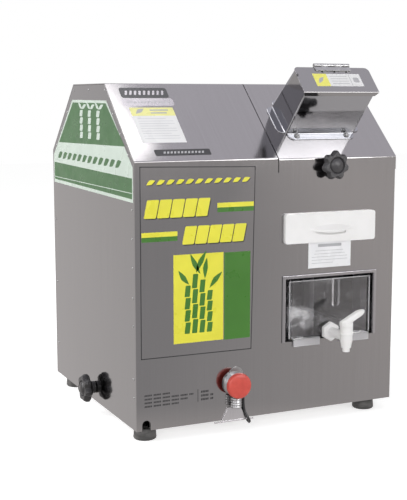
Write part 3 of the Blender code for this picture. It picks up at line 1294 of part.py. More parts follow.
def tie_rod_places():
    """Corners where the plates are tied, clear of the rollers and of the cane's way."""
    (front_in, front_up), (rear_in, rear_up), (upper_in, upper_down) = ROD_INSETS
    return [(CHEEK_FRONT_Y + front_in, CHEEK_BOTTOM_Z + front_up),
            (CHEEK_REAR_Y - rear_in, CHEEK_BOTTOM_Z + rear_up),
            (CHEEK_REAR_Y - upper_in, CHEEK_TOP_Z - upper_down)]


def mill_plates(cast, steel):
    """Cheek plates and outboard drive plate with bored bosses for the shafts, and the tie rods."""
    rolls = [MAIN_AXIS, FEED_AXIS, DISCHARGE_AXIS]
    rods = tie_rod_places()
    rod_holes = [circle(spot, TIE_ROD_RADIUS + GAP, SMALL_ROUND) for spot in rods]
    boss = SHAFT_RADIUS + BOSS_WALL
    for name, bores, low, high, side in (
            ("left_cheek_plate", [*rolls, PINION_AXIS], CHEEK_LEFT_OUT, CHEEK_LEFT_IN, -1),
            ("right_cheek_plate", rolls, CHEEK_RIGHT_IN, CHEEK_RIGHT_OUT, 1),
            ("drive_plate", [MAIN_AXIS, PINION_AXIS], DRIVE_PLATE_LEFT, DRIVE_PLATE_RIGHT, 1)):
        plate = add(name, prism(cheek_outline(), "X", low, high, rod_holes), cast)
        middle = (low + high) / 2
        end = high + BOSS_HEIGHT if side > 0 else low - BOSS_HEIGHT
        span = sorted((middle, end))
        join(plate, merge(*[rod("X", spot, boss, *span) for spot in bores]), "bosses")
        span = (low - 2 * BOSS_HEIGHT, high + 2 * BOSS_HEIGHT)
        cut(plate, merge(*[rod("X", spot, SHAFT_RADIUS + GAP, *span) for spot in bores]), "bores")
    low = DRIVE_PLATE_LEFT - GAP - TIE_NUT_LENGTH
    high = CHEEK_RIGHT_OUT + GAP + TIE_NUT_LENGTH
    for name, spot in zip(("front_tie_rod", "rear_tie_rod", "upper_tie_rod"), rods):
        bolt = add(name, rod("X", spot, TIE_ROD_RADIUS, low - GAP, high + GAP, SMALL_ROUND), steel)
        for label, start in (("left_nut", low), ("right_nut", high - TIE_NUT_LENGTH)):
            join(bolt, prism(circle(spot, TIE_NUT_RADIUS, 6), "X", start, start + TIE_NUT_LENGTH), label)


def scraper(steel):
    """Turning plate that guides the cane from the feed nip to the discharge nip."""
    radius = ROLL_RADIUS + PLATE_CLEARANCE + PLATE_THICKNESS
    start, end = FEED_TURN + radians(24), DISCHARGE_ANGLE - radians(20)
    steps = 8
    near = [polar(MAIN_AXIS, radius, start + (end - start) * k / steps) for k in range(steps + 1)]
    keel_y = (FEED_AXIS[0] + DISCHARGE_AXIS[0]) / 2
    keel_z = min(FEED_AXIS[1], DISCHARGE_AXIS[1]) - ROLL_RADIUS * 0.35
    outline = [*near, (keel_y + PLATE_THICKNESS, keel_z), (keel_y - PLATE_THICKNESS, keel_z)]
    add("turning_plate", prism(outline, "X", CHEEK_LEFT_IN + GAP, CHEEK_RIGHT_IN - GAP), steel)


def feed_guide(steel):
    """Funnel under the hopper that leads the cane into the first nip."""
    middle = slope_s(MAIN_AXIS) / 2 + slope_s(FEED_AXIS) / 2
    low_x, high_x = CHEEK_LEFT_IN + GAP, CHEEK_RIGHT_IN - GAP
    top = (HOPPER_FRONT_S - SHEET, HOPPER_BACK_S + SHEET, -GUIDE_TOP_DROP)
    mouth = (middle - GUIDE_MOUTH_HALF, middle + GUIDE_MOUTH_HALF, GUIDE_MOUTH_H)

    def loop(edge, wall):
        front, back, h = edge
        return [roof_place(low_x + wall, front + wall, h), roof_place(high_x - wall, front + wall, h),
                roof_place(high_x - wall, back - wall, h), roof_place(low_x + wall, back - wall, h)]

    loops = [loop(top, 0), loop(mouth, 0), loop(mouth, SHEET), loop(top, SHEET)]
    add("feed_guide", loft(loops, closed=True), steel)


def slope_s(spot):
    """How far up the front slope a place in (y, z) lies."""
    return spot[0] * cos(ROOF_ANGLE) + (spot[1] - EAVE_HEIGHT) * sin(ROOF_ANGLE)


# Belt drive and motor


def pulley_profile(outer, low, high, bore):
    """Half section of a V-belt pulley."""
    middle = (low + high) / 2
    top = outer - PULLEY_RIM
    bottom = top - BELT_DEPTH - PULLEY_GROOVE_ROOM
    slope = (BELT_TOP_WIDTH - BELT_BOTTOM_WIDTH) / 2 / BELT_DEPTH
    half_top = BELT_TOP_WIDTH / 2 + BELT_CLEARANCE + PULLEY_RIM * slope
    half_bottom = half_top - (outer - bottom) * slope
    return [(bore, low), (bore, high), (outer, high), (outer, middle + half_top),
            (bottom, middle + half_bottom), (bottom, middle - half_bottom), (outer, middle - half_top),
            (outer, low)]


def belt_drive(bodies, cast, rubber, steel):
    """Pulleys on the motor and the countershaft with a V-belt round them."""
    section = pulley_profile(BIG_PULLEY_RADIUS, PULLEY_LEFT, PULLEY_RIGHT, SHAFT_RADIUS + GAP)
    big = add("driven_pulley", turned(section, "X", PINION_AXIS, ROUND, True), cast, bodies["countershaft"])
    for k in range(PULLEY_HOLES):
        spot = polar(PINION_AXIS, BIG_PULLEY_RADIUS * 0.52, pi / 4 + k * 2 * pi / PULLEY_HOLES)
        radius = BIG_PULLEY_RADIUS * 0.17
        hole = rod("X", spot, radius, PULLEY_LEFT - SHEET, PULLEY_RIGHT + SHEET, SMALL_ROUND)
        cut(big, hole, f"lightening_{k}")
    section = pulley_profile(SMALL_PULLEY_RADIUS, PULLEY_LEFT, PULLEY_RIGHT, MOTOR_SHAFT_RADIUS + GAP)
    add("motor_pulley", turned(section, "X", MOTOR_AXIS, ROUND, True), cast, bodies["motor_shaft"])
    inner_end = MOTOR_RIGHT - MOTOR_LENGTH * MOTOR_SHAFT_SHARE
    shaft = rod("X", MOTOR_AXIS, MOTOR_SHAFT_RADIUS, inner_end, PULLEY_RIGHT + GEAR_SPACE, SMALL_ROUND)
    add("motor_shaft", shaft, steel, bodies["motor_shaft"])
    outer_big = BIG_PULLEY_RADIUS - PULLEY_RIM
    outer_small = SMALL_PULLEY_RADIUS - PULLEY_RIM
    centres = PINION_AXIS[1] - MOTOR_AXIS[1]
    lean = asin((outer_big - outer_small) / centres)
    steps = 12
    stations = []
    for k in range(steps + 1):
        stations.append((PINION_AXIS, outer_big, -lean + (pi + 2 * lean) * k / steps))
    for k in range(steps + 1):
        stations.append((MOTOR_AXIS, outer_small, pi + lean + (pi - 2 * lean) * k / steps))
    loops = []
    for centre, outer, angle in stations:
        rows = [(outer, BELT_TOP_WIDTH / 2), (outer, -BELT_TOP_WIDTH / 2),
                (outer - BELT_DEPTH, -BELT_BOTTOM_WIDTH / 2), (outer - BELT_DEPTH, BELT_BOTTOM_WIDTH / 2)]
        loops.append([world(PULLEY_MID + x, *polar(centre, r, angle)) for r, x in rows])
    add("v_belt", loft(loops, closed=True), rubber)


def motor(steel, paint, black):
    """Ribbed motor on a plate that stands on the cabinet's floor."""
    ribs = []
    step = 2 * pi / MOTOR_RIBS
    inner = MOTOR_RADIUS - MOTOR_RIB_DEPTH
    for k in range(MOTOR_RIBS):
        middle = k * step
        for radius, share in ((inner, -0.32), (MOTOR_RADIUS, -0.18), (MOTOR_RADIUS, 0.18), (inner, 0.32)):
            ribs.append(polar(MOTOR_AXIS, radius, middle + step * share))
    bell = MOTOR_LENGTH * 0.16
    made = add("motor_body", prism(ribs, "X", MOTOR_LEFT + bell, MOTOR_RIGHT - bell), paint)
    for label, start, end in (("rear_bell", MOTOR_LEFT, MOTOR_LEFT + bell * 1.1),
                              ("front_bell", MOTOR_RIGHT, MOTOR_RIGHT - bell * 1.1)):
        shoulder = start + (end - start) * 0.35
        profile = [(MOTOR_RADIUS * 0.80, start), (MOTOR_RADIUS * 0.97, shoulder), (MOTOR_RADIUS * 0.97, end)]
        join(made, turned(profile, "X", MOTOR_AXIS, ROUND), label)
    foot_top = MOTOR_AXIS[1] - MOTOR_RADIUS * 0.80
    seat = MOTOR_PLATE_Z + MOTOR_PLATE_THICKNESS + GAP
    foot = block(MOTOR_LEFT + bell, MOTOR_RIGHT - bell, MOTOR_AXIS[0] - MOTOR_RADIUS * 0.85,
                 MOTOR_AXIS[0] + MOTOR_RADIUS * 0.85, seat, seat + MOTOR_FOOT_HEIGHT)
    join(made, foot, "foot")
    neck = block(MOTOR_LEFT + 1.5 * bell, MOTOR_RIGHT - 1.5 * bell, MOTOR_AXIS[0] - MOTOR_RADIUS * 0.5,
                 MOTOR_AXIS[0] + MOTOR_RADIUS * 0.5, seat + MOTOR_FOOT_HEIGHT / 2, foot_top)
    join(made, neck, "neck")
    bore_end = MOTOR_RIGHT - MOTOR_LENGTH * MOTOR_SHAFT_SHARE - GEAR_SPACE
    bore = rod("X", MOTOR_AXIS, MOTOR_SHAFT_RADIUS + PIN_CLEARANCE, bore_end, MOTOR_RIGHT + SHEET)
    cut(made, bore, "shaft_bore")
    box_half = MOTOR_RADIUS * 0.42
    centre_x = (MOTOR_LEFT + MOTOR_RIGHT) / 2
    front = MOTOR_AXIS[0] - MOTOR_RADIUS
    box = block(centre_x - box_half, centre_x + box_half, front - MOTOR_RADIUS * 0.4,
                front + MOTOR_RADIUS * 0.3, MOTOR_AXIS[1] - box_half, MOTOR_AXIS[1] + box_half)
    join(made, box, "terminal_box")
    plate_front = MOTOR_AXIS[0] - MOTOR_RADIUS * 1.15
    plate_back = MOTOR_AXIS[0] + MOTOR_RADIUS * 1.15
    floor = PAN_Z + SHEET + GAP
    outline = folded_sheet([(plate_front, floor), (plate_front, MOTOR_PLATE_Z + MOTOR_PLATE_THICKNESS),
                            (plate_back, MOTOR_PLATE_Z + MOTOR_PLATE_THICKNESS), (plate_back, floor)][::-1],
                           MOTOR_PLATE_THICKNESS, MOTOR_PLATE_THICKNESS * 1.2)
    near = SHEET + GAP
    plate = add("motor_plate", prism(outline, "X", near, MOTOR_RIGHT + bell / 4), steel)
    half = WELD_NUT_RADIUS * 1.25
    clamp = block(near, near + CLAMP_BLOCK, SIDE_KNOB_Y - half, SIDE_KNOB_Y + half, SIDE_KNOB_Z - half,
                  MOTOR_PLATE_Z + MOTOR_PLATE_THICKNESS / 2)
    join(plate, clamp, "clamp_block")
    bore = rod("X", (SIDE_KNOB_Y, SIDE_KNOB_Z), STUD_RADIUS + GAP, 0, near + 2 * CLAMP_BLOCK)
    cut(plate, bore, "stud_bore")


# Frame, shelf, rails and chutes


def angle_leg(corner_x, corner_y, toward_x, toward_y, low, high):
    """Upright angle iron with its outer corner at a place and its legs towards two sides."""
    wall = ANGLE_WALL
    u, v = corner_x, corner_y
    a, b = toward_x, toward_y
    outline = [(u, v), (u + a * ANGLE_IRON, v), (u + a * ANGLE_IRON, v + b * wall),
               (u + a * wall, v + b * wall), (u + a * wall, v + b * ANGLE_IRON), (u, v + b * ANGLE_IRON)]
    return prism(outline, "Z", low, high)


def mill_frame(steel):
    """Welded stand of four angle-iron legs and two cross rails that carries the mill."""
    low = PAN_Z + SHEET + GAP
    top = CHEEK_BOTTOM_Z - GAP
    legs = []
    for x, toward_x in ((FRAME_LEFT_X, -1), (FRAME_RIGHT_X, 1)):
        for y, toward_y in ((FRAME_FRONT_Y, 1), (FRAME_REAR_Y, -1)):
            legs.append(angle_leg(x, y, toward_x, toward_y, low, top))
    frame = add("mill_frame", merge(*legs), steel)
    tank_shelf(frame)
    wall = ANGLE_WALL
    low_x, high_x = DRIVE_PLATE_LEFT - GAP, FRAME_RIGHT_X + ANGLE_IRON * 0.8
    for label, y, toward in (("front_rail", FRAME_FRONT_Y, 1), ("rear_rail", FRAME_REAR_Y, -1)):
        outline = [(y, top), (y, top - ANGLE_IRON), (y + toward * wall, top - ANGLE_IRON),
                   (y + toward * wall, top - wall), (y + toward * ANGLE_IRON, top - wall),
                   (y + toward * ANGLE_IRON, top)]
        join(frame, prism(outline, "X", low_x, high_x), label)
    room = block(CHEEK_LEFT_IN, CHEEK_RIGHT_IN, FRAME_FRONT_Y + 2 * wall, FRAME_FRONT_Y + 2 * ANGLE_IRON,
                 top - 2 * wall, top + wall)
    cut(frame, room, "funnel_room")
    for label, x, toward in (("left_bar", FRAME_LEFT_X, -1), ("right_bar", FRAME_RIGHT_X, 1)):
        span = sorted((x, x + toward * wall))
        join(frame, block(*span, FRAME_FRONT_Y, FRAME_REAR_Y, top - ANGLE_IRON, top), label)


def tank_shelf(frame):
    """Folded shelf welded between the frame's legs, under the juice tank."""
    top = WINDOW_BOTTOM + SHEET + TANK_CLEARANCE - GAP
    bite = ANGLE_WALL / 2
    low_x, high_x = FRAME_LEFT_X - bite, FRAME_RIGHT_X + bite
    line = [(low_x, top - EDGE_FLANGE), (low_x, top), (high_x, top), (high_x, top - EDGE_FLANGE)]
    outline = folded_sheet(line[::-1], RAIL_SHEET, BEND_RADIUS)
    join(frame, prism(outline, "Y", WINDOW_FLANGE + GAP, FRAME_REAR_Y), "tank_shelf")


def drawer_runner(steel):
    """Angled runners under the drawer's edges, with a cross strip behind that stops the drawer."""
    ledge = DRAWER_TRAY_BOTTOM - GAP
    near, far = SHEET + 2 * GAP, DRAWER_TRAY_LENGTH + GAP + RAIL_SHEET
    low_x, high_x = FRAME_LEFT_X + GAP, FRAME_RIGHT_X - GAP
    bm = block(low_x, high_x, near, far, ledge - RAIL_SHEET, ledge + EDGE_FLANGE)
    runner = add("drawer_runner", bm, steel)
    hollow = block(low_x + RAIL_SHEET, high_x - RAIL_SHEET, near - SHEET, far - RAIL_SHEET, ledge,
                   ledge + 2 * EDGE_FLANGE)
    cut(runner, hollow, "hollow")
    inset = DRAWER_TRAY_WIDTH / 2 - RAIL_LEDGE
    middle = block(DRAWER_CENTRE_X - inset, DRAWER_CENTRE_X + inset, near - SHEET, far - 4 * RAIL_LEDGE,
                   ledge - 2 * RAIL_SHEET, ledge + RAIL_SHEET)
    cut(runner, middle, "opening")


def juice_funnel(steel):
    """Sloping catch tray under the rollers that drains into the strainer drawer."""
    low_x, high_x = CHEEK_LEFT_IN + GAP, CHEEK_RIGHT_IN - GAP
    low_y = FEED_AXIS[0] - ROLL_RADIUS
    high_y = DISCHARGE_AXIS[0] + ROLL_RADIUS
    rim = CHEEK_BOTTOM_Z + FUNNEL_RISE
    throat_z = DRAWER_TRAY_BOTTOM + DRAWER_TRAY_HEIGHT + FUNNEL_RISE
    middle_x, middle_y = (low_x + high_x) / 2, DRAWER_TRAY_LENGTH / 2 + SHEET
    half = DRAWER_OUTLET_INSET

    def loop(half_x, near_y, far_y, z):
        return [world(middle_x - half_x, near_y, z), world(middle_x + half_x, near_y, z),
                world(middle_x + half_x, far_y, z), world(middle_x - half_x, far_y, z)]

    wide = (high_x - low_x) / 2
    loops = [loop(wide, low_y, high_y, rim), loop(half, middle_y - half, middle_y + half, throat_z),
             loop(half, middle_y - half, middle_y + half, throat_z - FUNNEL_RISE / 2),
             loop(half - SHEET, middle_y - half + SHEET, middle_y + half - SHEET, throat_z - FUNNEL_RISE / 2),
             loop(half - SHEET, middle_y - half + SHEET, middle_y + half - SHEET, throat_z + SHEET),
             loop(wide - SHEET, low_y + SHEET, high_y - SHEET, rim)]
    add("juice_funnel", loft(loops, closed=True), steel)


def bagasse_chute(steel):
    """Open chute that carries the crushed cane out through the rear wall."""
    low_x, high_x = CHEEK_LEFT_IN + GAP, CHEEK_RIGHT_IN - GAP
    outline = [(low_x, 0), (high_x, 0), (high_x, CHUTE_WALL), (high_x - SHEET, CHUTE_WALL),
               (high_x - SHEET, SHEET), (low_x + SHEET, SHEET), (low_x + SHEET, CHUTE_WALL),
               (low_x, CHUTE_WALL)]
    bm = prism(outline, "Y", CHUTE_START_Y, BODY_DEPTH + CHUTE_LIP)
    for vert in bm.verts:
        along = vert.co.y - FRONT - CHUTE_START_Y
        vert.co.z += CHUTE_START_Z + CHUTE_SLOPE * along
    add("bagasse_chute", bm, steel)


def cable_gland(black):
    """Threaded gland in the rear wall; its flange is outside and its nut part inside."""
    centre = (GLAND_X, GLAND_Z)
    outside = BODY_DEPTH + GAP
    profile = [(GLAND_RADIUS * 0.5, BODY_DEPTH - 4 * SHEET), (GLAND_RADIUS * 0.5, outside + 5 * SHEET),
               (GLAND_RADIUS * 0.7, outside + 5 * SHEET), (GLAND_RADIUS * 0.9, outside + 3.5 * SHEET),
               (GLAND_RADIUS * 1.15, outside + 2 * SHEET), (GLAND_RADIUS * 1.15, outside),
               (GLAND_RADIUS - SHEET - GAP, outside), (GLAND_RADIUS - SHEET - GAP, BODY_DEPTH - 4 * SHEET)]
    add("cable_gland", turned(profile, "Y", centre, SMALL_ROUND, True), black)


def main():
    clear_scene()
    steel = make_material("polished_steel", (0.62, 0.61, 0.61), 0.22, 1.0)
    cast = make_material("cast_steel", (0.42, 0.42, 0.43), 0.45, 1.0)
    black = make_material("black_plastic", (0.035, 0.035, 0.038), 0.45, 0.0)
    rubber = make_material("black_rubber", (0.03, 0.03, 0.03), 0.8, 0.0)
    white = make_material("white_plastic", (0.86, 0.86, 0.85), 0.35, 0.0)
    red = make_material("red_plastic", (0.66, 0.06, 0.04), 0.4, 0.0)
    silver = make_material("satin_silver", (0.72, 0.72, 0.72), 0.35, 0.9)
    clear = make_material("clear_plastic", (0.80, 0.82, 0.84), 0.08, 0.0)
    paint = make_material("grey_paint", (0.20, 0.23, 0.26), 0.5, 0.2)

    roof_body = make_body("body_roof_cover", world(0, *COVER_AXIS))
    lid_body = make_body("body_hopper_lid", world(0, *LID_AXIS), roof_body)
    cover_knob_body = make_body("body_cover_knob", world(COVER_KNOB_X, 0, COVER_KNOB_Z))
    side_knob_body = make_body("body_side_knob", world(0, SIDE_KNOB_Y, SIDE_KNOB_Z))
    plunger_body = make_body("body_estop_plunger", world(ESTOP_X, 0, ESTOP_Z))
    twist_body = make_body("body_estop_head", world(ESTOP_X, 0, ESTOP_Z), plunger_body)
    drawer_body = make_body("body_strainer_drawer", world(DRAWER_CENTRE_X, 0, DRAWER_TRAY_BOTTOM))
    tank_body = make_body("body_juice_tank", world(WINDOW_CENTRE_X, 0, WINDOW_BOTTOM))
    plug_body = make_body("body_tap_plug", world(TAP_X, TAP_AXIS_Y, TAP_Z), tank_body)
    turning = {"main_roll": MAIN_AXIS, "feed_roll": FEED_AXIS, "discharge_roll": DISCHARGE_AXIS,
               "countershaft": PINION_AXIS, "motor_shaft": MOTOR_AXIS}
    bodies = {name: make_body(f"body_{name}", world(0, *axis)) for name, axis in turning.items()}

    front_and_roof_sheet(steel)
    side_panel("left_side_panel", 0, 1, steel)
    side_panel("right_side_panel", BODY_WIDTH, -1, steel)
    base_pan(steel)
    rear_panel(steel)
    seam_channel(steel)
    rubber_feet(rubber)

    roof_cover(roof_body, steel)
    hopper_box(roof_body, steel)
    hopper_lid(lid_body, steel)
    lid_hinge(roof_body, lid_body, silver)
    cover_hinge(roof_body, silver)

    front_spot = (COVER_KNOB_X, COVER_KNOB_Z)
    side_spot = (SIDE_KNOB_Y, SIDE_KNOB_Z)
    nut_end = SHEET + WELD_NUT_LENGTH + GAP
    block_end = SHEET + GAP + CLAMP_BLOCK + GAP
    flange = GAP + SHEET + KNOB_SEAT
    star_knob("cover_knob", "Y", front_spot, flange, COVER_KNOB_HUB, nut_end, black, cover_knob_body)
    star_knob("side_knob", "X", side_spot, KNOB_SEAT, SIDE_KNOB_HUB, block_end, black, side_knob_body)
    estop(plunger_body, twist_body, red, silver, black)

    strainer_drawer(drawer_body, white, steel)
    juice_tank(tank_body, clear)
    tap(tank_body, plug_body, white)

    mill(bodies, steel, cast)
    mill_plates(cast, silver)
    scraper(steel)
    feed_guide(steel)
    belt_drive(bodies, cast, rubber, steel)
    motor(steel, paint, black)

    mill_frame(paint)
    drawer_runner(steel)
    juice_funnel(steel)
    bagasse_chute(steel)
    cable_gland(black)


main()
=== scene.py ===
import json
from math import pi, radians, sin

import bmesh
import bpy
from mathutils import Matrix, Vector

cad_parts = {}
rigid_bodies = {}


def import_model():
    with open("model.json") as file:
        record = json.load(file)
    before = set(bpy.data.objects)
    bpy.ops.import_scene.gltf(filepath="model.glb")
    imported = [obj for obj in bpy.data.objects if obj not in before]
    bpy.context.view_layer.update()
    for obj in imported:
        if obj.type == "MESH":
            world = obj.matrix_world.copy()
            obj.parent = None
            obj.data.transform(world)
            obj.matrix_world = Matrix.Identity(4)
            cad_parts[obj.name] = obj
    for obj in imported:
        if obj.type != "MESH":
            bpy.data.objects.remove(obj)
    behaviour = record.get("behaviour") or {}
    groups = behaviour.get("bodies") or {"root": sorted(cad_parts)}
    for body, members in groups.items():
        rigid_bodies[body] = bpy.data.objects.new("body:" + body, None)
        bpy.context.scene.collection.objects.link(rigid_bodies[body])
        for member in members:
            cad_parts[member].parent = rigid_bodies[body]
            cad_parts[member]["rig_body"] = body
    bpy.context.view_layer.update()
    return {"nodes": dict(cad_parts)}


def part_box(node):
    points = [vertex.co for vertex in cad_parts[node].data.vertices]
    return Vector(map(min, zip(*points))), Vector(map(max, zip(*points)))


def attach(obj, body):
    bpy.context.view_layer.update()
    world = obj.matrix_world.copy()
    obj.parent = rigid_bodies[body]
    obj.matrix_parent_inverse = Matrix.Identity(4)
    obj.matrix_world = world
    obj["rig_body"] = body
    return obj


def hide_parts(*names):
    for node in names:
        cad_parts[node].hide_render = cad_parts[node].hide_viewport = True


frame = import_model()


# Studio: a pale floor and a world that is white to the eye, both with a softer shading for what the
# steel mirrors. Softboxes stand over the machine, in front and on the left, and a strip that only
# mirrors see lights the folds. The camera has the photograph's place and angle.
FLOOR_SIZE = 14.0
FLOOR_COLOUR = (0.72, 0.72, 0.72)
FLOOR_GLOW = 0.62
MIRRORED_FLOOR_DIM = (0.58, 0.57, 0.58)
MIRRORED_FLOOR_BRIGHT = (0.89, 0.85, 0.84)
DIM_TO_BRIGHT = (-0.30, 0.30, 0.0, 1.0)
ACROSS_THE_VIEW = (0.88, 0.47, 0.0)
FRONT_OF_MACHINE = -0.18
DIM_STRIP_DEPTH = 0.2
BEFORE_THE_FRONT = (FRONT_OF_MACHINE - DIM_STRIP_DEPTH, FRONT_OF_MACHINE, 0.0, 1.0)
SKY_LEVEL = 0.50
HORIZON_TONE = (0.82, 0.79, 0.78)
ZENITH_TONE = (1.04, 1.02, 1.12)
HORIZON_TO_ZENITH = (-0.1, 0.9, 0.0, 1.0)
OVERHEAD_TURN = 35
CAMERA_PLACE = (-0.8196, -1.7173, 0.5484)
CAMERA_PITCH = 8.15
CAMERA_YAW = 24.84
CAMERA_LENS = 76.78
CAMERA_CLIP = (0.05, 60.0)
SENSOR = 36.0


def node_of(tree, kind, **values):
    node = tree.nodes.new("ShaderNode" + kind)
    for name, value in values.items():
        node.inputs[name.replace("_", " ")].default_value = value
    return node


def mapped(tree, value, span):
    """A value carried from the first range of the span to the second."""
    change = node_of(tree, "MapRange")
    for socket, limit in zip(("From Min", "From Max", "To Min", "To Max"), span):
        change.inputs[socket].default_value = limit
    tree.links.new(value, change.inputs["Value"])
    return change.outputs[0]


def combined(tree, operation, first, second):
    """The result of a Math node on two values."""
    joined = tree.nodes.new("ShaderNodeMath")
    joined.operation = operation
    tree.links.new(first, joined.inputs[0])
    tree.links.new(second, joined.inputs[1])
    return joined.outputs[0]


def toned(tree, value, dark, light, low=0.0, high=1.0):
    """A colour from dark to light as the value goes from low to high."""
    ramp = node_of(tree, "ValToRGB")
    for stop, place, colour in zip(ramp.color_ramp.elements, (low, high), (dark, light)):
        stop.position = place
        stop.color = (*colour, 1)
    tree.links.new(value, ramp.inputs["Fac"])
    return ramp.outputs["Color"]


def mixed(tree, choice, first, second):
    """The first shader where the choice is 0 and the second where it is 1."""
    both = node_of(tree, "MixShader")
    tree.links.new(choice, both.inputs[0])
    tree.links.new(first.outputs[0], both.inputs[1])
    tree.links.new(second.outputs[0], both.inputs[2])
    return both


def object_of(name, mesh):
    """A new object in the scene, with the mesh in it."""
    data = bpy.data.meshes.new(name)
    mesh.to_mesh(data)
    mesh.free()
    made = bpy.data.objects.new(name, data)
    bpy.context.scene.collection.objects.link(made)
    return made


def build_world():
    """White to the camera, a shaded sky to mirrors and glass, and a soft fill to everything else."""
    world = bpy.data.worlds.new("studio")
    bpy.context.scene.world = world
    world.use_nodes = True
    tree = world.node_tree
    tree.nodes.clear()
    paths = node_of(tree, "LightPath")
    seen = node_of(tree, "Background", Color=(1, 1, 1, 1), Strength=1.0)
    soft = node_of(tree, "Background", Color=(1, 1, 1, 1), Strength=SKY_LEVEL)
    mirrored = node_of(tree, "Background", Strength=1.0)
    direction = node_of(tree, "TexCoord")
    split = node_of(tree, "SeparateXYZ")
    tree.links.new(direction.outputs["Generated"], split.inputs[0])
    height = mapped(tree, split.outputs["Z"], HORIZON_TO_ZENITH)
    tree.links.new(toned(tree, height, HORIZON_TONE, ZENITH_TONE), mirrored.inputs["Color"])
    indirect = combined(tree, "MAXIMUM", paths.outputs["Is Glossy Ray"], paths.outputs["Is Transmission Ray"])
    unseen = mixed(tree, indirect, soft, mirrored)
    sky = mixed(tree, paths.outputs["Is Camera Ray"], unseen, seen)
    output = node_of(tree, "OutputWorld")
    tree.links.new(sky.outputs[0], output.inputs[0])


def build_floor():
    """Pale floor that keeps its shadow; mirrors see a glow, dim before the machine's front on the left."""
    mesh = bmesh.new()
    bmesh.ops.create_grid(mesh, x_segments=4, y_segments=4, size=FLOOR_SIZE / 2)
    floor = object_of("floor", mesh)
    pale = bpy.data.materials.new("pale_floor")
    pale.use_nodes = True
    tree = pale.node_tree
    tree.nodes.clear()
    paths = node_of(tree, "LightPath")
    matt = node_of(tree, "BsdfDiffuse", Color=(*FLOOR_COLOUR, 1))
    glow = node_of(tree, "Emission", Color=(1, 1, 1, 1))
    brightness = mapped(tree, paths.outputs["Is Camera Ray"], (0.0, 1.0, 0.0, FLOOR_GLOW))
    tree.links.new(brightness, glow.inputs["Strength"])
    direct = node_of(tree, "AddShader")
    tree.links.new(matt.outputs[0], direct.inputs[0])
    tree.links.new(glow.outputs[0], direct.inputs[1])
    place = node_of(tree, "TexCoord")
    across = tree.nodes.new("ShaderNodeVectorMath")
    across.operation = "DOT_PRODUCT"
    across.inputs[1].default_value = ACROSS_THE_VIEW
    tree.links.new(place.outputs["Object"], across.inputs[0])
    split = node_of(tree, "SeparateXYZ")
    tree.links.new(place.outputs["Object"], split.inputs[0])
    rightward = mapped(tree, across.outputs["Value"], DIM_TO_BRIGHT)
    backward = mapped(tree, split.outputs["Y"], BEFORE_THE_FRONT)
    brighter = combined(tree, "MAXIMUM", rightward, backward)
    mirrored = node_of(tree, "Emission", Strength=1.0)
    tree.links.new(toned(tree, brighter, MIRRORED_FLOOR_DIM, MIRRORED_FLOOR_BRIGHT), mirrored.inputs["Color"])
    surface = mixed(tree, paths.outputs["Is Glossy Ray"], direct, mirrored)
    output = node_of(tree, "OutputMaterial")
    tree.links.new(surface.outputs[0], output.inputs[0])
    floor.data.materials.append(pale)


def softbox(name, place, aim, width, depth, radiance):
    """Rectangular lamp of one brightness whatever its size, turned to its aim."""
    lamp = bpy.data.lights.new(name, "AREA")
    lamp.shape = "RECTANGLE"
    lamp.size = width
    lamp.size_y = depth
    lamp.energy = radiance * pi * width * depth
    holder = bpy.data.objects.new(name, lamp)
    bpy.context.scene.collection.objects.link(holder)
    holder.location = place
    holder.rotation_euler = (Vector(aim) - Vector(place)).to_track_quat("-Z", "Y").to_euler()
    return holder


build_world()
build_floor()
overhead = softbox("overhead_softbox", (-0.146, 0.169, 2.0), (-0.146, 0.169, 0.0), 0.62, 1.18, 3.5)
overhead.rotation_euler = (0, 0, radians(OVERHEAD_TURN))
softbox("front_softbox", (1.31, -2.30, 0.84), (0.1, -0.1, 0.40), 0.56, 0.52, 11.0)
softbox("left_softbox", (-2.4, 0.3, 0.85), (-0.2, 0.0, 0.35), 1.2, 1.0, 5.0)
softbox("front_fill", (0.5, -2.8, 1.3), (0.0, -0.1, 0.25), 1.9, 1.1, 1.4)
fold_strip = softbox("fold_strip", (0.7, -2.5, 1.45), (0.0, -0.18, 0.45), 2.2, 0.30, 6.0)
fold_strip.visible_diffuse = False
softbox("camera_side_softbox", (-2.0, -2.5, 1.15), (0.0, 0.0, 0.45), 1.0, 0.9, 8.0)
softbox("left_high_softbox", (-1.9, 1.1, 1.5), (0.0, 0.0, 0.45), 0.8, 0.8, 10.0)

lens = bpy.data.cameras.new("camera")
lens.lens = CAMERA_LENS
lens.sensor_width = SENSOR
lens.clip_start, lens.clip_end = CAMERA_CLIP
camera = bpy.data.objects.new("camera", lens)
bpy.context.scene.collection.objects.link(camera)
camera.location = CAMERA_PLACE
camera.rotation_euler = (radians(90 - CAMERA_PITCH), 0, radians(-CAMERA_YAW))
bpy.context.scene.camera = camera
bpy.context.scene.view_settings.view_transform = "Standard"


# Cabinet: folded and riveted stainless sheet with an upright brushed grain. The folds are rounded
# by the press brake and the cut edges are broken with a file.
STEEL = (0.300, 0.291, 0.290)
STEEL_LIGHT = (0.314, 0.305, 0.305)
STEEL_ROUGHNESS = (0.09, 0.15)
# The side panels are a darker copy of the same brushed steel: painted shade.
SHADED_SIDE_STEEL = (0.262, 0.258, 0.260)
SHADED_SIDE_STEEL_LIGHT = (0.276, 0.272, 0.274)
SIDE_ROUGHNESS = (0.05, 0.10)
GRAIN_PER_METRE = 900
GRAIN_STRETCH = 0.006
GRAIN_HEIGHT = 0.000008
WAVES_PER_METRE = 5.0
WAVE_HEIGHT = 0.0002
HANDLING_PER_METRE = 9.0
NOISE_MIDDLE = (0.35, 0.65)
FILED_EDGE = 0.00035
SHARP_ANGLE = 32
MERGE_DISTANCE = 1e-6
FLAT_ANGLE = 0.4
BEND_SEGMENTS = 5


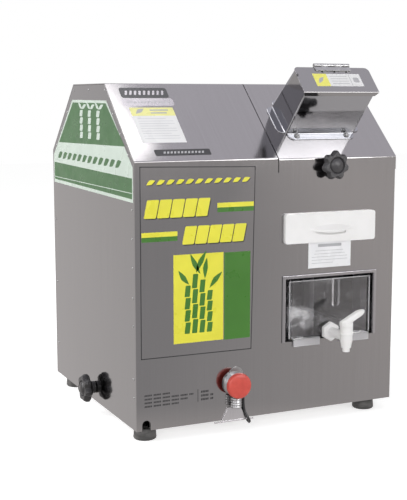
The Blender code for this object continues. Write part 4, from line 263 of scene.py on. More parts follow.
def new_finish(name, colour, roughness, metallic=0.0):
    finish = bpy.data.materials.new(name)
    finish.use_nodes = True
    shader = finish.node_tree.nodes["Principled BSDF"]
    shader.inputs["Base Color"].default_value = (*colour, 1)
    shader.inputs["Roughness"].default_value = roughness
    shader.inputs["Metallic"].default_value = metallic
    return finish


def shader_of(finish):
    return finish.node_tree.nodes["Principled BSDF"]


def noise(finish, scale, stretch=(1, 1, 1), detail=3.0):
    """Noise on the object's own coordinates, in grains to the metre, drawn out where stretch is small."""
    tree = finish.node_tree
    place = node_of(tree, "TexCoord")
    drawn = node_of(tree, "Mapping", Scale=stretch)
    grains = node_of(tree, "TexNoise", Scale=scale, Detail=detail)
    tree.links.new(place.outputs["Object"], drawn.inputs["Vector"])
    tree.links.new(drawn.outputs["Vector"], grains.inputs["Vector"])
    return grains.outputs["Fac"]


def vary_colour(finish, pattern, dark, light):
    tree = finish.node_tree
    varied = toned(tree, pattern, dark, light, *NOISE_MIDDLE)
    tree.links.new(varied, shader_of(finish).inputs["Base Color"])


def vary_roughness(finish, pattern, least, most):
    tree = finish.node_tree
    varied = mapped(tree, pattern, (*NOISE_MIDDLE, least, most))
    tree.links.new(varied, shader_of(finish).inputs["Roughness"])


def raise_grain(finish, pattern, height):
    """Adds relief of that height in metres, over any that the finish already has."""
    tree = finish.node_tree
    relief = node_of(tree, "Bump", Strength=1.0, Distance=height)
    normal = shader_of(finish).inputs["Normal"]
    if normal.is_linked:
        tree.links.new(normal.links[0].from_socket, relief.inputs["Normal"])
    tree.links.new(pattern, relief.inputs["Height"])
    tree.links.new(relief.outputs["Normal"], normal)


def brushed_steel(name, stretch, dark=STEEL, light=STEEL_LIGHT, roughness=STEEL_ROUGHNESS):
    """Steel with a fine grain along the small axes of stretch, over the sheet's slow waves."""
    finish = new_finish(name, dark, roughness[0], metallic=1.0)
    vary_colour(finish, noise(finish, GRAIN_PER_METRE, stretch, 4.0), dark, light)
    vary_roughness(finish, noise(finish, HANDLING_PER_METRE, detail=5.0), *roughness)
    raise_grain(finish, noise(finish, GRAIN_PER_METRE, stretch, 2.0), GRAIN_HEIGHT)
    raise_grain(finish, noise(finish, WAVES_PER_METRE, detail=0.0), WAVE_HEIGHT)
    return finish


def add_piece(name, mesh, body, slot, *finishes):
    """Puts a mesh in the scene, on its moving body, with its finishes. The slot it is given is not used."""
    piece = object_of(name, mesh)
    for finish in finishes:
        piece.data.materials.append(finish)
    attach(piece, body)
    return piece


def smooth(piece):
    for face in piece.data.polygons:
        face.use_smooth = True
    return piece


def round_edges(piece, width, segments=2):
    smooth(piece)
    edge = piece.modifiers.new("edges", "BEVEL")
    edge.width = width
    edge.segments = segments
    edge.limit_method = "ANGLE"
    edge.angle_limit = radians(SHARP_ANGLE)
    edge.miter_outer = "MITER_ARC"
    even = piece.modifiers.new("shading", "WEIGHTED_NORMAL")
    even.keep_sharp = True


def finished(node, prefix, finish, edge=FILED_EDGE, segments=2, bends=()):
    """A merged copy of a CAD solid with rounded edges and even shading, in place of the node.

    Each bend is a test that picks the edges of a fold, with the radius that they get.
    """
    solid = frame["nodes"][node]
    mesh = bmesh.new()
    mesh.from_mesh(solid.data)
    bmesh.ops.remove_doubles(mesh, verts=mesh.verts, dist=MERGE_DISTANCE)
    bmesh.ops.dissolve_limit(mesh, angle_limit=radians(FLAT_ANGLE), verts=mesh.verts, edges=mesh.edges)
    for in_fold, radius in bends:
        fold = [line for line in mesh.edges if in_fold(line)]
        bmesh.ops.bevel(mesh, geom=fold, affect="EDGES", offset=radius, segments=BEND_SEGMENTS, profile=0.5,
                        material=-1)
    for face in mesh.faces:
        face.material_index = 0
    piece = add_piece(prefix + "_" + node, mesh, solid["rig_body"], solid.data.materials[0].name, finish)
    round_edges(piece, edge, segments)
    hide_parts(node)
    return piece


along_depth_and_height = (1, GRAIN_STRETCH, GRAIN_STRETCH)
along_height = (GRAIN_STRETCH, 1, GRAIN_STRETCH)
wrap_steel = brushed_steel("brushed_steel_wrap", along_depth_and_height)
# The sides take the darker copy of the steel, as painted shade.
shaded_side_steel = brushed_steel("brushed_steel_sides_shaded", along_height, SHADED_SIDE_STEEL, SHADED_SIDE_STEEL_LIGHT, SIDE_ROUGHNESS)
for node in ("front_and_roof_sheet", "rear_panel", "seam_channel", "base_pan", "right_roof_cover"):
    finished(node, "brushed", wrap_steel)
for node in ("left_side_panel", "right_side_panel"):
    finished(node, "brushed", shaded_side_steel)


# Feet: four round buffers, moulded from dark grey rubber with a fine grain, and each screwed up into
# the base pan.
rubber = new_finish("foot_rubber", (0.07, 0.068, 0.066), 0.55)
vary_colour(rubber, noise(rubber, 60.0, (1, 1, 3)), (0.045, 0.044, 0.043), (0.105, 0.102, 0.099))
raise_grain(rubber, noise(rubber, 1400.0), 0.00006)
for node in ("front_left_foot", "front_right_foot", "rear_left_foot", "rear_right_foot"):
    finished(node, "moulded", rubber, edge=0.0008, segments=3)


# Hopper and its lid: thinner stainless with a mirror polish, folded and spot welded, and held to
# the roof by tabs with screws.
POLISHED_ROUGHNESS = (0.05, 0.09)
POLISHED_EDGE = 0.0005
SLOPE_RUN = 0.130
SLOPE_RISE = 0.121
LID_BEND = 0.0018
LID_FOLD_LENGTH = 0.130
LID_FRONT_DEPTH = 0.004
LID_LIP = 0.005
FOOT_BEND = 0.0020
FOOT_FOLD_LENGTH = 0.04
TAB_ROUNDING = 0.0010
SQUARE_FOLD = 60
FLAT_ON_ROOF = 0.9999
LID_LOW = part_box("hopper_lid")[0]
ROOF_UP = Vector((0, -SLOPE_RISE, SLOPE_RUN)).normalized()
polished = brushed_steel("polished_steel", (1, 1, GRAIN_STRETCH), (0.270, 0.265, 0.265),
                         (0.290, 0.285, 0.285), POLISHED_ROUGHNESS)
# The hopper's box is a lighter, bluer copy of the lid's polished steel: painted light.
lit_hopper_steel = brushed_steel("lit_hopper_steel", (1, 1, GRAIN_STRETCH), (0.298, 0.300, 0.314),
                             (0.318, 0.320, 0.334), POLISHED_ROUGHNESS)


def front_bend(edge):
    """True for the two long edges, outside and inside, of the fold at the lid's front."""
    one, other = (point.co - LID_LOW for point in edge.verts)
    at_front = max(one.y, other.y) < LID_FRONT_DEPTH and min(one.z, other.z) > LID_LIP
    return at_front and abs(one.x - other.x) > LID_FOLD_LENGTH


def is_square(edge):
    return edge.calc_face_angle(0.0) > radians(SQUARE_FOLD)


def foot_fold(edge):
    """True for the four folds along which the hopper's walls turn out into their tabs."""
    return not edge.is_convex and edge.calc_length() > FOOT_FOLD_LENGTH and is_square(edge)


def tab_rim(edge):
    """True for the upper rim of the tabs, which lie along the roof."""
    lies_flat = any(face.normal.dot(ROOF_UP) > FLAT_ON_ROOF for face in edge.link_faces)
    return lies_flat and edge.is_convex and is_square(edge)


finished("hopper_box", "polished", lit_hopper_steel, edge=POLISHED_EDGE, segments=3,
         bends=[(foot_fold, FOOT_BEND), (tab_rim, TAB_ROUNDING)])
finished("hopper_lid", "polished", polished, edge=POLISHED_EDGE, segments=3, bends=[(front_bend, LID_BEND)])


# Hinges: zinc-plated steel leaves, rolled into knuckles round a plain pin, one set for the roof cover
# and one for the hopper's lid.
plated = new_finish("plated_steel", (0.36, 0.36, 0.36), 0.30, metallic=1.0)
vary_colour(plated, noise(plated, 90.0), (0.33, 0.33, 0.33), (0.40, 0.40, 0.40))
vary_roughness(plated, noise(plated, 60.0), 0.25, 0.38)
for node in ("cover_hinge_fixed_leaf", "cover_hinge_moving_leaf", "cover_hinge_pin", "lid_hinge_wall_leaf",
             "lid_hinge_lid_leaf", "lid_hinge_pin"):
    finished(node, "plated", plated, edge=0.0002)


# Star knobs: black thermoset with a fine grain, moulded round their threaded studs. The side one is a
# darker copy of the same black, as painted shade.


def moulding(name, colour):
    finish = new_finish(name, colour, 0.38)
    vary_roughness(finish, noise(finish, 250.0), 0.30, 0.48)
    raise_grain(finish, noise(finish, 1600.0), 0.00004)
    return finish


knob_black = moulding("knob_moulding", (0.046, 0.044, 0.047))
# A darker copy of the knob's black for the side knob: painted shade.
shaded_side_black = moulding("side_knob_moulding_shaded", (0.017, 0.016, 0.017))
finished("cover_knob", "moulded", knob_black, edge=0.0009, segments=3)
finished("side_knob", "moulded", shaded_side_black, edge=0.0009, segments=3)


# Emergency stop: red moulded mushroom head in a plated bezel, clamped through the sheet on a black
# contact block, with a folded guard strap and a black cable. The gland at the rear is as black.
stop_red = new_finish("stop_head_red", (0.62, 0.075, 0.055), 0.36)
vary_colour(stop_red, noise(stop_red, 90.0), (0.58, 0.065, 0.048), (0.66, 0.085, 0.062))
raise_grain(stop_red, noise(stop_red, 1200.0), 0.00002)
finished("estop_head", "moulded", stop_red, edge=0.0006, segments=3)
finished("estop_bezel", "plated", plated, edge=0.0004)
strap_steel = brushed_steel("strap_steel", along_depth_and_height, (0.50, 0.49, 0.50), (0.55, 0.54, 0.55),
                            (0.22, 0.34))
finished("estop_strap", "brushed", strap_steel)
cable_black = new_finish("cable_sheath", (0.018, 0.018, 0.019), 0.42)
vary_roughness(cable_black, noise(cable_black, 200.0), 0.35, 0.5)
for node in ("estop_contact_block", "estop_plunger", "estop_cable", "cable_gland"):
    finished(node, "moulded", cable_black, edge=0.0003)


# Strainer drawer: white injection moulding with a recessed finger pull; a punched stainless
# screen lies in its tray.
white = new_finish("white_moulding", (0.86, 0.85, 0.845), 0.33)
vary_colour(white, noise(white, 30.0), (0.84, 0.83, 0.825), (0.88, 0.87, 0.868))
raise_grain(white, noise(white, 900.0), 0.00002)
finished("strainer_drawer", "moulded", white, edge=0.0008, segments=3)
finished("strainer_screen", "punched", polished, edge=0.0002)


# Juice tank: clear acrylic box with a moulded rib, its lips in a paler, less clear acrylic as a painted
# highlight, and its tap moulded in white plastic and held by a nut inside. Low on the left the acrylic is
# made paler, a painted bright patch standing in for a reflection.
ACRYLIC_IOR = 1.49
LIP_REACH = 0.0035
HAZE_SPAN = (0.54, 0.74, 1.0, 0.90)
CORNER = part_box("front_and_roof_sheet")[0]
# A paler patch of the acrylic low on the left: a painted bright patch standing in for a reflection.
BRIGHT_PATCH_PLACE = CORNER + Vector((0.297, 0.0, 0.162))
BRIGHT_PATCH_SPAN = (0.034, 0.010, 0.0, 1.0)
BRIGHT_PATCH_BREAKUP = (0.40, 0.58, 0.0, 0.50)
clear = new_finish("clear_acrylic", (0.96, 0.95, 0.97), 0.04)
shader_of(clear).inputs["Coat Weight"].default_value = 0.6
shader_of(clear).inputs["IOR"].default_value = ACRYLIC_IOR
vary_roughness(clear, noise(clear, 25.0), 0.02, 0.10)
acrylic = clear.node_tree
haze = mapped(acrylic, noise(clear, 17.0, (1.0, 1.0, 1.6)), HAZE_SPAN)
away = acrylic.nodes.new("ShaderNodeVectorMath")
away.operation = "DISTANCE"
away.inputs[1].default_value = BRIGHT_PATCH_PLACE
acrylic.links.new(node_of(acrylic, "TexCoord").outputs["Object"], away.inputs[0])
near = mapped(acrylic, away.outputs["Value"], BRIGHT_PATCH_SPAN)
bright_patches = mapped(acrylic, noise(clear, 48.0, (0.6, 1.0, 1.0)), BRIGHT_PATCH_BREAKUP)
clearness = combined(acrylic, "SUBTRACT", haze, combined(acrylic, "MULTIPLY", near, bright_patches))
acrylic.links.new(clearness, shader_of(clear).inputs["Transmission Weight"])
raise_grain(clear, noise(clear, 18.0, detail=1.0), 0.0006)
# Paler, less clear acrylic for the tank's lips and edge bead: painted highlight.
pale_highlight_acrylic = new_finish("highlight_acrylic", (0.90, 0.89, 0.91), 0.22)
shader_of(pale_highlight_acrylic).inputs["Transmission Weight"].default_value = 0.62
shader_of(pale_highlight_acrylic).inputs["IOR"].default_value = ACRYLIC_IOR
vary_roughness(pale_highlight_acrylic, noise(pale_highlight_acrylic, 160.0), 0.08, 0.16)
tank = finished("juice_tank", "clear", clear, edge=0.0013, segments=4)
tank.data.materials.append(pale_highlight_acrylic)
for face in tank.data.polygons:
    if face.center.y < FRONT_OF_MACHINE - LIP_REACH:
        face.material_index = 1
for node in ("tap_body", "tap_nut", "tap_plug"):
    finished(node, "moulded", white, edge=0.0006, segments=3)


# Window trim: bright steel edging pressed over the cut-out's top and sides. A bead of the paler acrylic
# runs up and over the tank's own front as a painted highlight, where the acrylic's polished edge gathers
# light. Outlines are left, right and top in millimetres from the casing's corner.
TRIM_OUTSIDE = (261.9, 447.9, 233.5)
TRIM_INSIDE = (268.2, 441.8, 227.6)
TRIM_LINER = (263.1, 446.7, 232.3)
TRIM_FOOT = 119.4
TRIM_RISE = 0.0021
TRIM_SEAT = 0.00002
TRIM_REACH = 0.0050
TRIM_ROUNDING = 0.0018
BEAD_OUTSIDE = (277.9, 438.1, 222.6)
BEAD_INSIDE = (279.7, 436.3, 221.0)
BEAD_FOOT = 124.0
BEAD_FRONT = -0.0034
BEAD_THICKNESS = 0.0022
BEAD_ROUNDING = 0.0004


def upright_on_front(mesh):
    """Stands a drawing, across and up in metres and out toward the viewer, on the cabinet's front."""
    stand = Matrix(((1, 0, 0, CORNER.x), (0, 0, -1, CORNER.y), (0, 1, 0, CORNER.z), (0, 0, 0, 1)))
    bmesh.ops.transform(mesh, matrix=stand, verts=mesh.verts)
    bmesh.ops.recalc_face_normals(mesh, faces=mesh.faces)


def slab(mesh, outline, low, thickness):
    """Flat plate from an outline in millimetres, between two heights in metres."""
    plate = mesh.faces.new([mesh.verts.new((across / 1000, up / 1000, low)) for across, up in outline])
    lifted = bmesh.ops.extrude_face_region(mesh, geom=[plate], use_keep_orig=True)["geom"]
    tops = [item for item in lifted if isinstance(item, bmesh.types.BMVert)]
    bmesh.ops.translate(mesh, vec=(0, 0, thickness), verts=tops)


def arch_outline(outside, inside, foot):
    """An arch with square corners, open below."""
    left, right, top = outside
    inner_left, inner_right, inner_top = inside
    return [(left, foot), (left, top), (right, top), (right, foot), (inner_right, foot),
            (inner_right, inner_top), (inner_left, inner_top), (inner_left, foot)]


edging = new_finish("trim_steel", (0.36, 0.35, 0.36), 0.14, metallic=1.0)
vary_roughness(edging, noise(edging, 140.0), 0.10, 0.22)
trim = bmesh.new()
slab(trim, arch_outline(TRIM_OUTSIDE, TRIM_INSIDE, TRIM_FOOT), TRIM_SEAT, TRIM_RISE)
slab(trim, arch_outline(TRIM_LINER, TRIM_INSIDE, TRIM_FOOT), -TRIM_REACH, TRIM_REACH)
upright_on_front(trim)
round_edges(add_piece("window_trim", trim, "root", "satin_silver", edging), TRIM_ROUNDING, 4)

# A pale strip along the tank front's edges: painted highlight.
edge_highlight_bead = bmesh.new()
slab(edge_highlight_bead, arch_outline(BEAD_OUTSIDE, BEAD_INSIDE, BEAD_FOOT), BEAD_FRONT - BEAD_THICKNESS, BEAD_THICKNESS)
upright_on_front(edge_highlight_bead)
round_edges(add_piece("tank_edge_highlight", edge_highlight_bead, "juice_tank", "clear_plastic", pale_highlight_acrylic), BEAD_ROUNDING)


# Mill: three grooved stainless rollers and their steel spur gears, all turned and milled, between
# cast iron cheek plates that plated rods tie together. The sheet parts round it are folded.
machined = new_finish("machined_steel", (0.46, 0.455, 0.45), 0.24, metallic=1.0)
vary_colour(machined, noise(machined, 700.0, (1, 0.05, 0.05)), (0.42, 0.415, 0.41), (0.50, 0.495, 0.49))
vary_roughness(machined, noise(machined, 40.0), 0.18, 0.34)
cast = new_finish("cast_iron", (0.16, 0.16, 0.165), 0.5, metallic=0.7)
vary_colour(cast, noise(cast, 120.0), (0.12, 0.12, 0.125), (0.20, 0.20, 0.205))
raise_grain(cast, noise(cast, 500.0), 0.0002)
for node in ("main_roller", "feed_roller", "discharge_roller", "main_mill_gear", "feed_mill_gear",
             "discharge_mill_gear", "bull_gear", "pinion_shaft", "motor_shaft"):
    finished(node, "machined", machined, edge=0.0002)
for node in ("left_cheek_plate", "right_cheek_plate", "drive_plate", "driven_pulley", "motor_pulley"):
    finished(node, "cast", cast, edge=0.0006)
for node in ("front_tie_rod", "rear_tie_rod", "upper_tie_rod"):
    finished(node, "plated", plated, edge=0.0003)
for node in ("turning_plate", "feed_guide", "juice_funnel", "bagasse_chute", "drawer_runner"):
    finished(node, "folded", wrap_steel, edge=0.0002)


# Drive: painted motor, bolted to its folded plate, a rubber V-belt, and the angle-iron frame, welded
# and painted grey.
paint = new_finish("grey_paint", (0.30, 0.29, 0.32), 0.30)
vary_colour(paint, noise(paint, 12.0), (0.22, 0.21, 0.24), (0.40, 0.39, 0.42))
raise_grain(paint, noise(paint, 350.0), 0.0001)
belt = new_finish("belt_rubber", (0.02, 0.02, 0.02), 0.6)
raise_grain(belt, noise(belt, 900.0), 0.0001)
finished("motor_body", "painted", paint, edge=0.0005)
finished("mill_frame", "painted", paint, edge=0.0005)
finished("motor_plate", "folded", wrap_steel, edge=0.0003)
finished("v_belt", "moulded", belt, edge=0.0003)


# Pop rivets: aluminium domes with the mandrel's dimple, along the left and right panels' edges and
# down the rear panel, where the sheets lap.
RIVET_RADIUS = 0.0021
RIVET_RISE = 0.0009
RIVET_SEAT = 0.0006
RIVET_SHANK = 0.0016
RIVET_STEPS = 12
CASING_WIDTH = 0.482
CASING_DEPTH = 0.424
SIDE_RIVETS = [(10, 54), (10, 84), (11, 170), (11, 215), (11, 263), (11, 309), (11, 355), (26, 439),
               (60, 471), (93, 502), (130, 540), (212, 541), (293, 540), (331, 502), (366, 471),
               (398, 441), (412, 300), (412, 180), (412, 60)]
REAR_RIVETS = [(across, up) for across in (14, 468) for up in range(40, 420, 75)]


def on_face(origin, along, up):
    """Matrix from a flat drawing, across, up and out in metres, to a face of the cabinet."""
    along = Vector(along).normalized()
    up = Vector(up).normalized()
    out = along.cross(up)
    turn = Matrix((along, up, out)).transposed().to_4x4()
    return Matrix.Translation(CORNER + Vector(origin)) @ turn


def turned(mesh, profile, place, steps):
    """Spins a profile of (radius, height) round the face's own normal at place."""
    before = set(mesh.verts)
    points = [mesh.verts.new((radius, 0, height)) for radius, height in profile]
    lines = [mesh.edges.new(pair) for pair in zip(points, points[1:])]
    bmesh.ops.spin(mesh, geom=points + lines, cent=(0, 0, 0), axis=(0, 0, 1), angle=2 * pi, steps=steps,
                   use_merge=True)
    made = [point for point in mesh.verts if point not in before]
    bmesh.ops.remove_doubles(mesh, verts=made, dist=MERGE_DISTANCE)
    made = [point for point in mesh.verts if point not in before]
    faces = {face for point in made for face in point.link_faces}
    bmesh.ops.recalc_face_normals(mesh, faces=list(faces))
    bmesh.ops.transform(mesh, matrix=place, verts=made)


RIVET = [(0, -RIVET_SEAT), (RIVET_SHANK, -RIVET_SEAT), (RIVET_RADIUS, 0),
         (RIVET_RADIUS * 0.92, RIVET_RISE * 0.45), (RIVET_RADIUS * 0.66, RIVET_RISE * 0.85),
         (RIVET_RADIUS * 0.36, RIVET_RISE), (RIVET_RADIUS * 0.24, RIVET_RISE * 0.6), (0, RIVET_RISE * 0.55)]
LEFT_FACE = on_face((0, 0, 0), (0, -1, 0), (0, 0, 1))
RIGHT_FACE = on_face((CASING_WIDTH, 0, 0), (0, 1, 0), (0, 0, 1))
REAR_FACE = on_face((0, CASING_DEPTH, 0), (-1, 0, 0), (0, 0, 1))
aluminium = new_finish("rivet_aluminium", (0.34, 0.34, 0.34), 0.35, metallic=1.0)
vary_roughness(aluminium, noise(aluminium, 400.0), 0.28, 0.45)


def rivets(name, face, spots):
    mesh = bmesh.new()
    for across, up in spots:
        turned(mesh, RIVET, face @ Matrix.Translation((across / 1000, up / 1000, 0)), RIVET_STEPS)
    smooth(add_piece(name, mesh, "root", "satin_silver", aluminium))


rivets("left_panel_rivets", LEFT_FACE, [(-y, z) for y, z in SIDE_RIVETS])
rivets("right_panel_rivets", RIGHT_FACE, SIDE_RIVETS)
rivets("rear_panel_rivets", REAR_FACE, [(-x, z) for x, z in REAR_RIVETS])


# Hopper screws: zinc-plated pan heads with a round recess, turned, each on a washer and driven
# through a tab of the hopper.
SCREW_PLACES = [(306.0, 47.9), (403.0, 48.2), (316.0, 129.0), (392.0, 129.0)]
HEAD_RADIUS = 0.0036
HEAD_RISE = 0.0022
WASHER_RADIUS = 0.0052
WASHER_THICKNESS = 0.0009
SCREW_STEPS = 20
SCREW_SEAT = 0.00002
TAB_TOP = 0.0019
EAVE = 0.430
ROOF_FACE = on_face((0, 0, EAVE), (1, 0, 0), (0, SLOPE_RUN, SLOPE_RISE))
WASHER = [(0, 0), (WASHER_RADIUS, 0), (WASHER_RADIUS, WASHER_THICKNESS * 0.8),
          (WASHER_RADIUS * 0.96, WASHER_THICKNESS), (0, WASHER_THICKNESS)]
PAN_HEAD = [(0, 0), (HEAD_RADIUS, 0), (HEAD_RADIUS, HEAD_RISE * 0.45), (HEAD_RADIUS * 0.88, HEAD_RISE * 0.8),
            (HEAD_RADIUS * 0.6, HEAD_RISE), (HEAD_RADIUS * 0.3, HEAD_RISE),
            (HEAD_RADIUS * 0.16, HEAD_RISE * 0.5), (0, HEAD_RISE * 0.5)]
screws = bmesh.new()
for across, up in SCREW_PLACES:
    seat = ROOF_FACE @ Matrix.Translation((across / 1000, up / 1000, TAB_TOP))
    turned(screws, WASHER, seat, SCREW_STEPS)
    turned(screws, PAN_HEAD, seat @ Matrix.Translation((0, 0, WASHER_THICKNESS + SCREW_SEAT)), SCREW_STEPS)
heads = smooth(add_piece("hopper_screws", screws, "roof_cover", "satin_silver", plated))
heads.modifiers.new("shading", "WEIGHTED_NORMAL").keep_sharp = True


# Rivets of the lid: three of aluminium, set through the hinge's leaf, and a larger one of black
# plastic, pressed into the left cheek. The lid's face is worked out from the hopper's front rim.
LID_TOP = 0.00181
RIM = Vector((0, 0.0525, 0.0040))
HOPPER_FRONT_RIM = Vector((0, 0.0535, 0.0970))
LEAF_TOP = 0.0018
LEAF_RIVETS = [(335, 44.5), (358, 44.5), (381, 44.5)]
CHEEK_FROM_LEFT = 0.2820
CHEEK_RIVET = (7.4, 564.2)
CHEEK_RIVET_SIZE = 1.3
rim_place = ROOF_FACE @ HOPPER_FRONT_RIM - CORNER
LID_FACE = on_face(rim_place, (1, 0, 0), ROOF_FACE.to_3x3() @ RIM) @ Matrix.Translation((0, 0, LID_TOP))
CHEEK_FACE = on_face((CHEEK_FROM_LEFT, 0, 0), (0, -1, 0), (0, 0, 1))
hinge_rivets = bmesh.new()
for across, up in LEAF_RIVETS:
    seat = LID_FACE @ Matrix.Translation((across / 1000, up / 1000, LEAF_TOP))
    turned(hinge_rivets, RIVET, seat, RIVET_STEPS)
smooth(add_piece("lid_hinge_rivets", hinge_rivets, "hopper_lid", "satin_silver", aluminium))
button = bmesh.new()
across, up = CHEEK_RIVET
turned(button, [(radius * CHEEK_RIVET_SIZE, height * CHEEK_RIVET_SIZE) for radius, height in RIVET],
       CHEEK_FACE @ Matrix.Translation((across / 1000, up / 1000, 0)), RIVET_STEPS)
smooth(add_piece("lid_cheek_rivet", button, "hopper_lid", "black_plastic", knob_black))


# Front decal: inks printed straight on the sheet, each a thin raised field with the vinyl's gloss. A
# thin black border holds a row of leaves, two cane stalks with stripes beside them, and a yellow and
# a green field with a sheaf of cane. Places and sizes of all decals are in millimetres on their face.
INK = 0.00005
YELLOW = (0.82, 0.77, 0.055)
GREEN = (0.050, 0.190, 0.018)
BLACK = (0.018, 0.018, 0.020)
INK_SHADE = 0.93
FRAME_CORNERS = [(8.6, 116.9), (204.8, 115.6), (210.6, 418.1), (8.6, 422.5)]
LINE = 1.5
LEAF_STEPS = 20
LEAF_POINT = 0.45
LEAF_BREADTH = 1.35
LEAF_ARCH = 0.10
ROW_LEAVES = 11
ROW_PITCH = 16.6
ROW_LEAF = (16, 7.5, 24)
STALKS = [(15, 341), (80, 297)]
STALK_JOINTS = 5
JOINT_LENGTH = 20.5
JOINT_WIDTH = 29
JOINT_GAP = 1.6
JOINT_LEAN = 6
JOINT_ROUNDING = 2.2
SHADOW_RIGHT = 1.4
SHADOW_DOWN = 1.6
STRIPES = [(142, 207.5, 346), (11, 72, 304)]
STRIPE_HEIGHT = 7.5
YELLOW_FIELD = (65, 153, 137, 281)
GREEN_FIELD = (154.5, 202, 136, 280)
SHEAF = [(84, 232), (97, 250), (110, 240), (123, 222)]
SHEAF_FOOT = 152
SHEAF_JOINTS = 4
SHEAF_THICKNESS = 9
SHEAF_GAP = 1.5
SHEAF_LEAN = 2.2
SHEAF_LEAVES = [((112, 248), 38, 118), ((104, 250), 40, 62), ((92, 232), 30, 128), ((128, 224), 34, 48),
                ((120, 240), 34, 84)]


def vinyl(name, colour, gloss=0.5):
    """Printed vinyl, a little uneven in colour and sheen."""
    finish = new_finish(name, colour, 0.32)
    shader_of(finish).inputs["Specular IOR Level"].default_value = gloss
    darker = tuple(channel * INK_SHADE for channel in colour)
    vary_colour(finish, noise(finish, 22.0, detail=4.0), darker, colour)
    vary_roughness(finish, noise(finish, 35.0), 0.26, 0.40)
    raise_grain(finish, noise(finish, 600.0), 0.000012)
    return finish


def field(mesh, corners, level, thickness, ink, rounding=0.0):
    """A flat field of ink: corners in millimetres on the face, its level and thickness in metres."""
    before = set(mesh.faces)
    points = [mesh.verts.new((across / 1000, up / 1000, level)) for across, up in corners]
    mesh.faces.new(points)
    if rounding:
        bmesh.ops.bevel(mesh, geom=points, affect="VERTICES", offset=rounding / 1000, segments=4, profile=0.5,
                        material=-1)
    flat = next(face for face in mesh.faces if face not in before)
    raise_field(mesh, flat, thickness, ink, before)


def raise_field(mesh, flat, thickness, ink, before):
    """Gives a flat face its thickness, and its ink to every face that wasn't there before."""
    lifted = bmesh.ops.extrude_face_region(mesh, geom=[flat], use_keep_orig=True)["geom"]
    tops = [item for item in lifted if isinstance(item, bmesh.types.BMVert)]
    bmesh.ops.translate(mesh, vec=(0, 0, thickness), verts=tops)
    made = [face for face in mesh.faces if face not in before]
    for face in made:
        face.material_index = ink
    bmesh.ops.recalc_face_normals(mesh, faces=made)


def bar(mesh, left, right, low, high, level, thickness, ink, lean=0.0, rounding=0.0):
    """An upright or leaning four-sided field."""
    corners = [(left, low), (right, low), (right + lean, high), (left + lean, high)]
    field(mesh, corners, level, thickness, ink, rounding)


def leaf(mesh, root, length, width, turn, level, thickness, ink):
    """A cane leaf: a disc drawn out to a point at both ends, from its root along turn in degrees."""
    before = set(mesh.faces)
    disc = bmesh.ops.create_circle(mesh, cap_ends=True, segments=LEAF_STEPS, radius=0.5)["verts"]
    for point in disc:
        along = point.co.x
        narrowed = point.co.y * (0.5 - abs(along)) ** LEAF_POINT * LEAF_BREADTH
        point.co = (along + 0.5, narrowed + LEAF_ARCH * sin(pi * (along + 0.5)), 0)
    place = Matrix.Translation((root[0] / 1000, root[1] / 1000, level))
    direction = Matrix.Rotation(radians(turn), 4, "Z")
    extent = Matrix.Diagonal((length / 1000, width / 1000, 1, 1))
    bmesh.ops.transform(mesh, matrix=place @ direction @ extent, verts=disc)
    raise_field(mesh, disc[0].link_faces[0], thickness, ink, before)


def add_decal(name, mesh, face, body, *inks):
    bmesh.ops.transform(mesh, matrix=face, verts=mesh.verts)
    return add_piece(name, mesh, body, "white_plastic", *inks)


FRONT_FACE = on_face((0, 0, 0), (1, 0, 0), (0, 0, 1))
front = bmesh.new()
yellow, green, black = 0, 1, 2
low_left, low_right, high_right, high_left = (Vector(corner) for corner in FRAME_CORNERS)
across, up = Vector((LINE, 0)), Vector((0, LINE))
for corners in ([low_left, low_right, low_right + up, low_left + up],
                [low_right - across + up, low_right + up, high_right, high_right - across],
                [high_left - up, high_right - across - up, high_right - across, high_left],
                [low_left + up, low_left + across + up, high_left + across - up, high_left - up]):
    field(front, corners, 0, INK, black)
for number in range(ROW_LEAVES):
    leaf(front, (20 + ROW_PITCH * number, 393.5), *ROW_LEAF, 0, 2 * INK, yellow)
    leaf(front, (21 + ROW_PITCH * number, 392.4), *ROW_LEAF, 0, INK, black)
for start, low in STALKS:
    high = low + JOINT_WIDTH
    for number in range(STALK_JOINTS):
        left = start + number * (JOINT_LENGTH + JOINT_GAP)
        right = left + JOINT_LENGTH
        bar(front, left + SHADOW_RIGHT, right + SHADOW_RIGHT, low - SHADOW_DOWN, high - SHADOW_DOWN,
            0, INK, black, JOINT_LEAN, JOINT_ROUNDING)
        bar(front, left, right, low, high, 0, 2 * INK, yellow, JOINT_LEAN, JOINT_ROUNDING)
for left, right, low in STRIPES:
    bar(front, left, right, low + STRIPE_HEIGHT, low + 2 * STRIPE_HEIGHT, 0, INK, yellow)
    bar(front, left, right, low, low + STRIPE_HEIGHT, 0, INK, green)
bar(front, *YELLOW_FIELD, 0, INK, yellow)
bar(front, *GREEN_FIELD, 0, INK, green)
for foot, top in SHEAF:
    length = (top - SHEAF_FOOT) / SHEAF_JOINTS
    for joint in range(SHEAF_JOINTS):
        low = SHEAF_FOOT + joint * length
        bar(front, foot, foot + SHEAF_THICKNESS, low, low + length - SHEAF_GAP, INK, INK, green,
            SHEAF_LEAN, rounding=1.2)
for root, length, turn in SHEAF_LEAVES:
    leaf(front, root, length, SHEAF_THICKNESS, turn, INK, INK, green)
black_ink = vinyl("black_ink", BLACK)
add_decal("front_decal", front, FRONT_FACE, "root", vinyl("yellow_ink", YELLOW), vinyl("green_ink", GREEN),
          black_ink)


# Printed lines low on the front: rows of slanted black beads and one upright rule, of the same ink
# as the decal above them and straight on the sheet.
LONG_ROWS = 6.0
SHORT_ROWS = 6.4


def beads(mesh, left, right, low, high, pitch):
    """A printed row of slanted beads with a gap after every fifth."""
    count = int((right - left) / pitch)
    for number in range(count):
        if number % 6 != 5:
            start = left + number * pitch
            bar(mesh, start, start + pitch * 0.72, low, high, 0, INK, 0, lean=0.4)


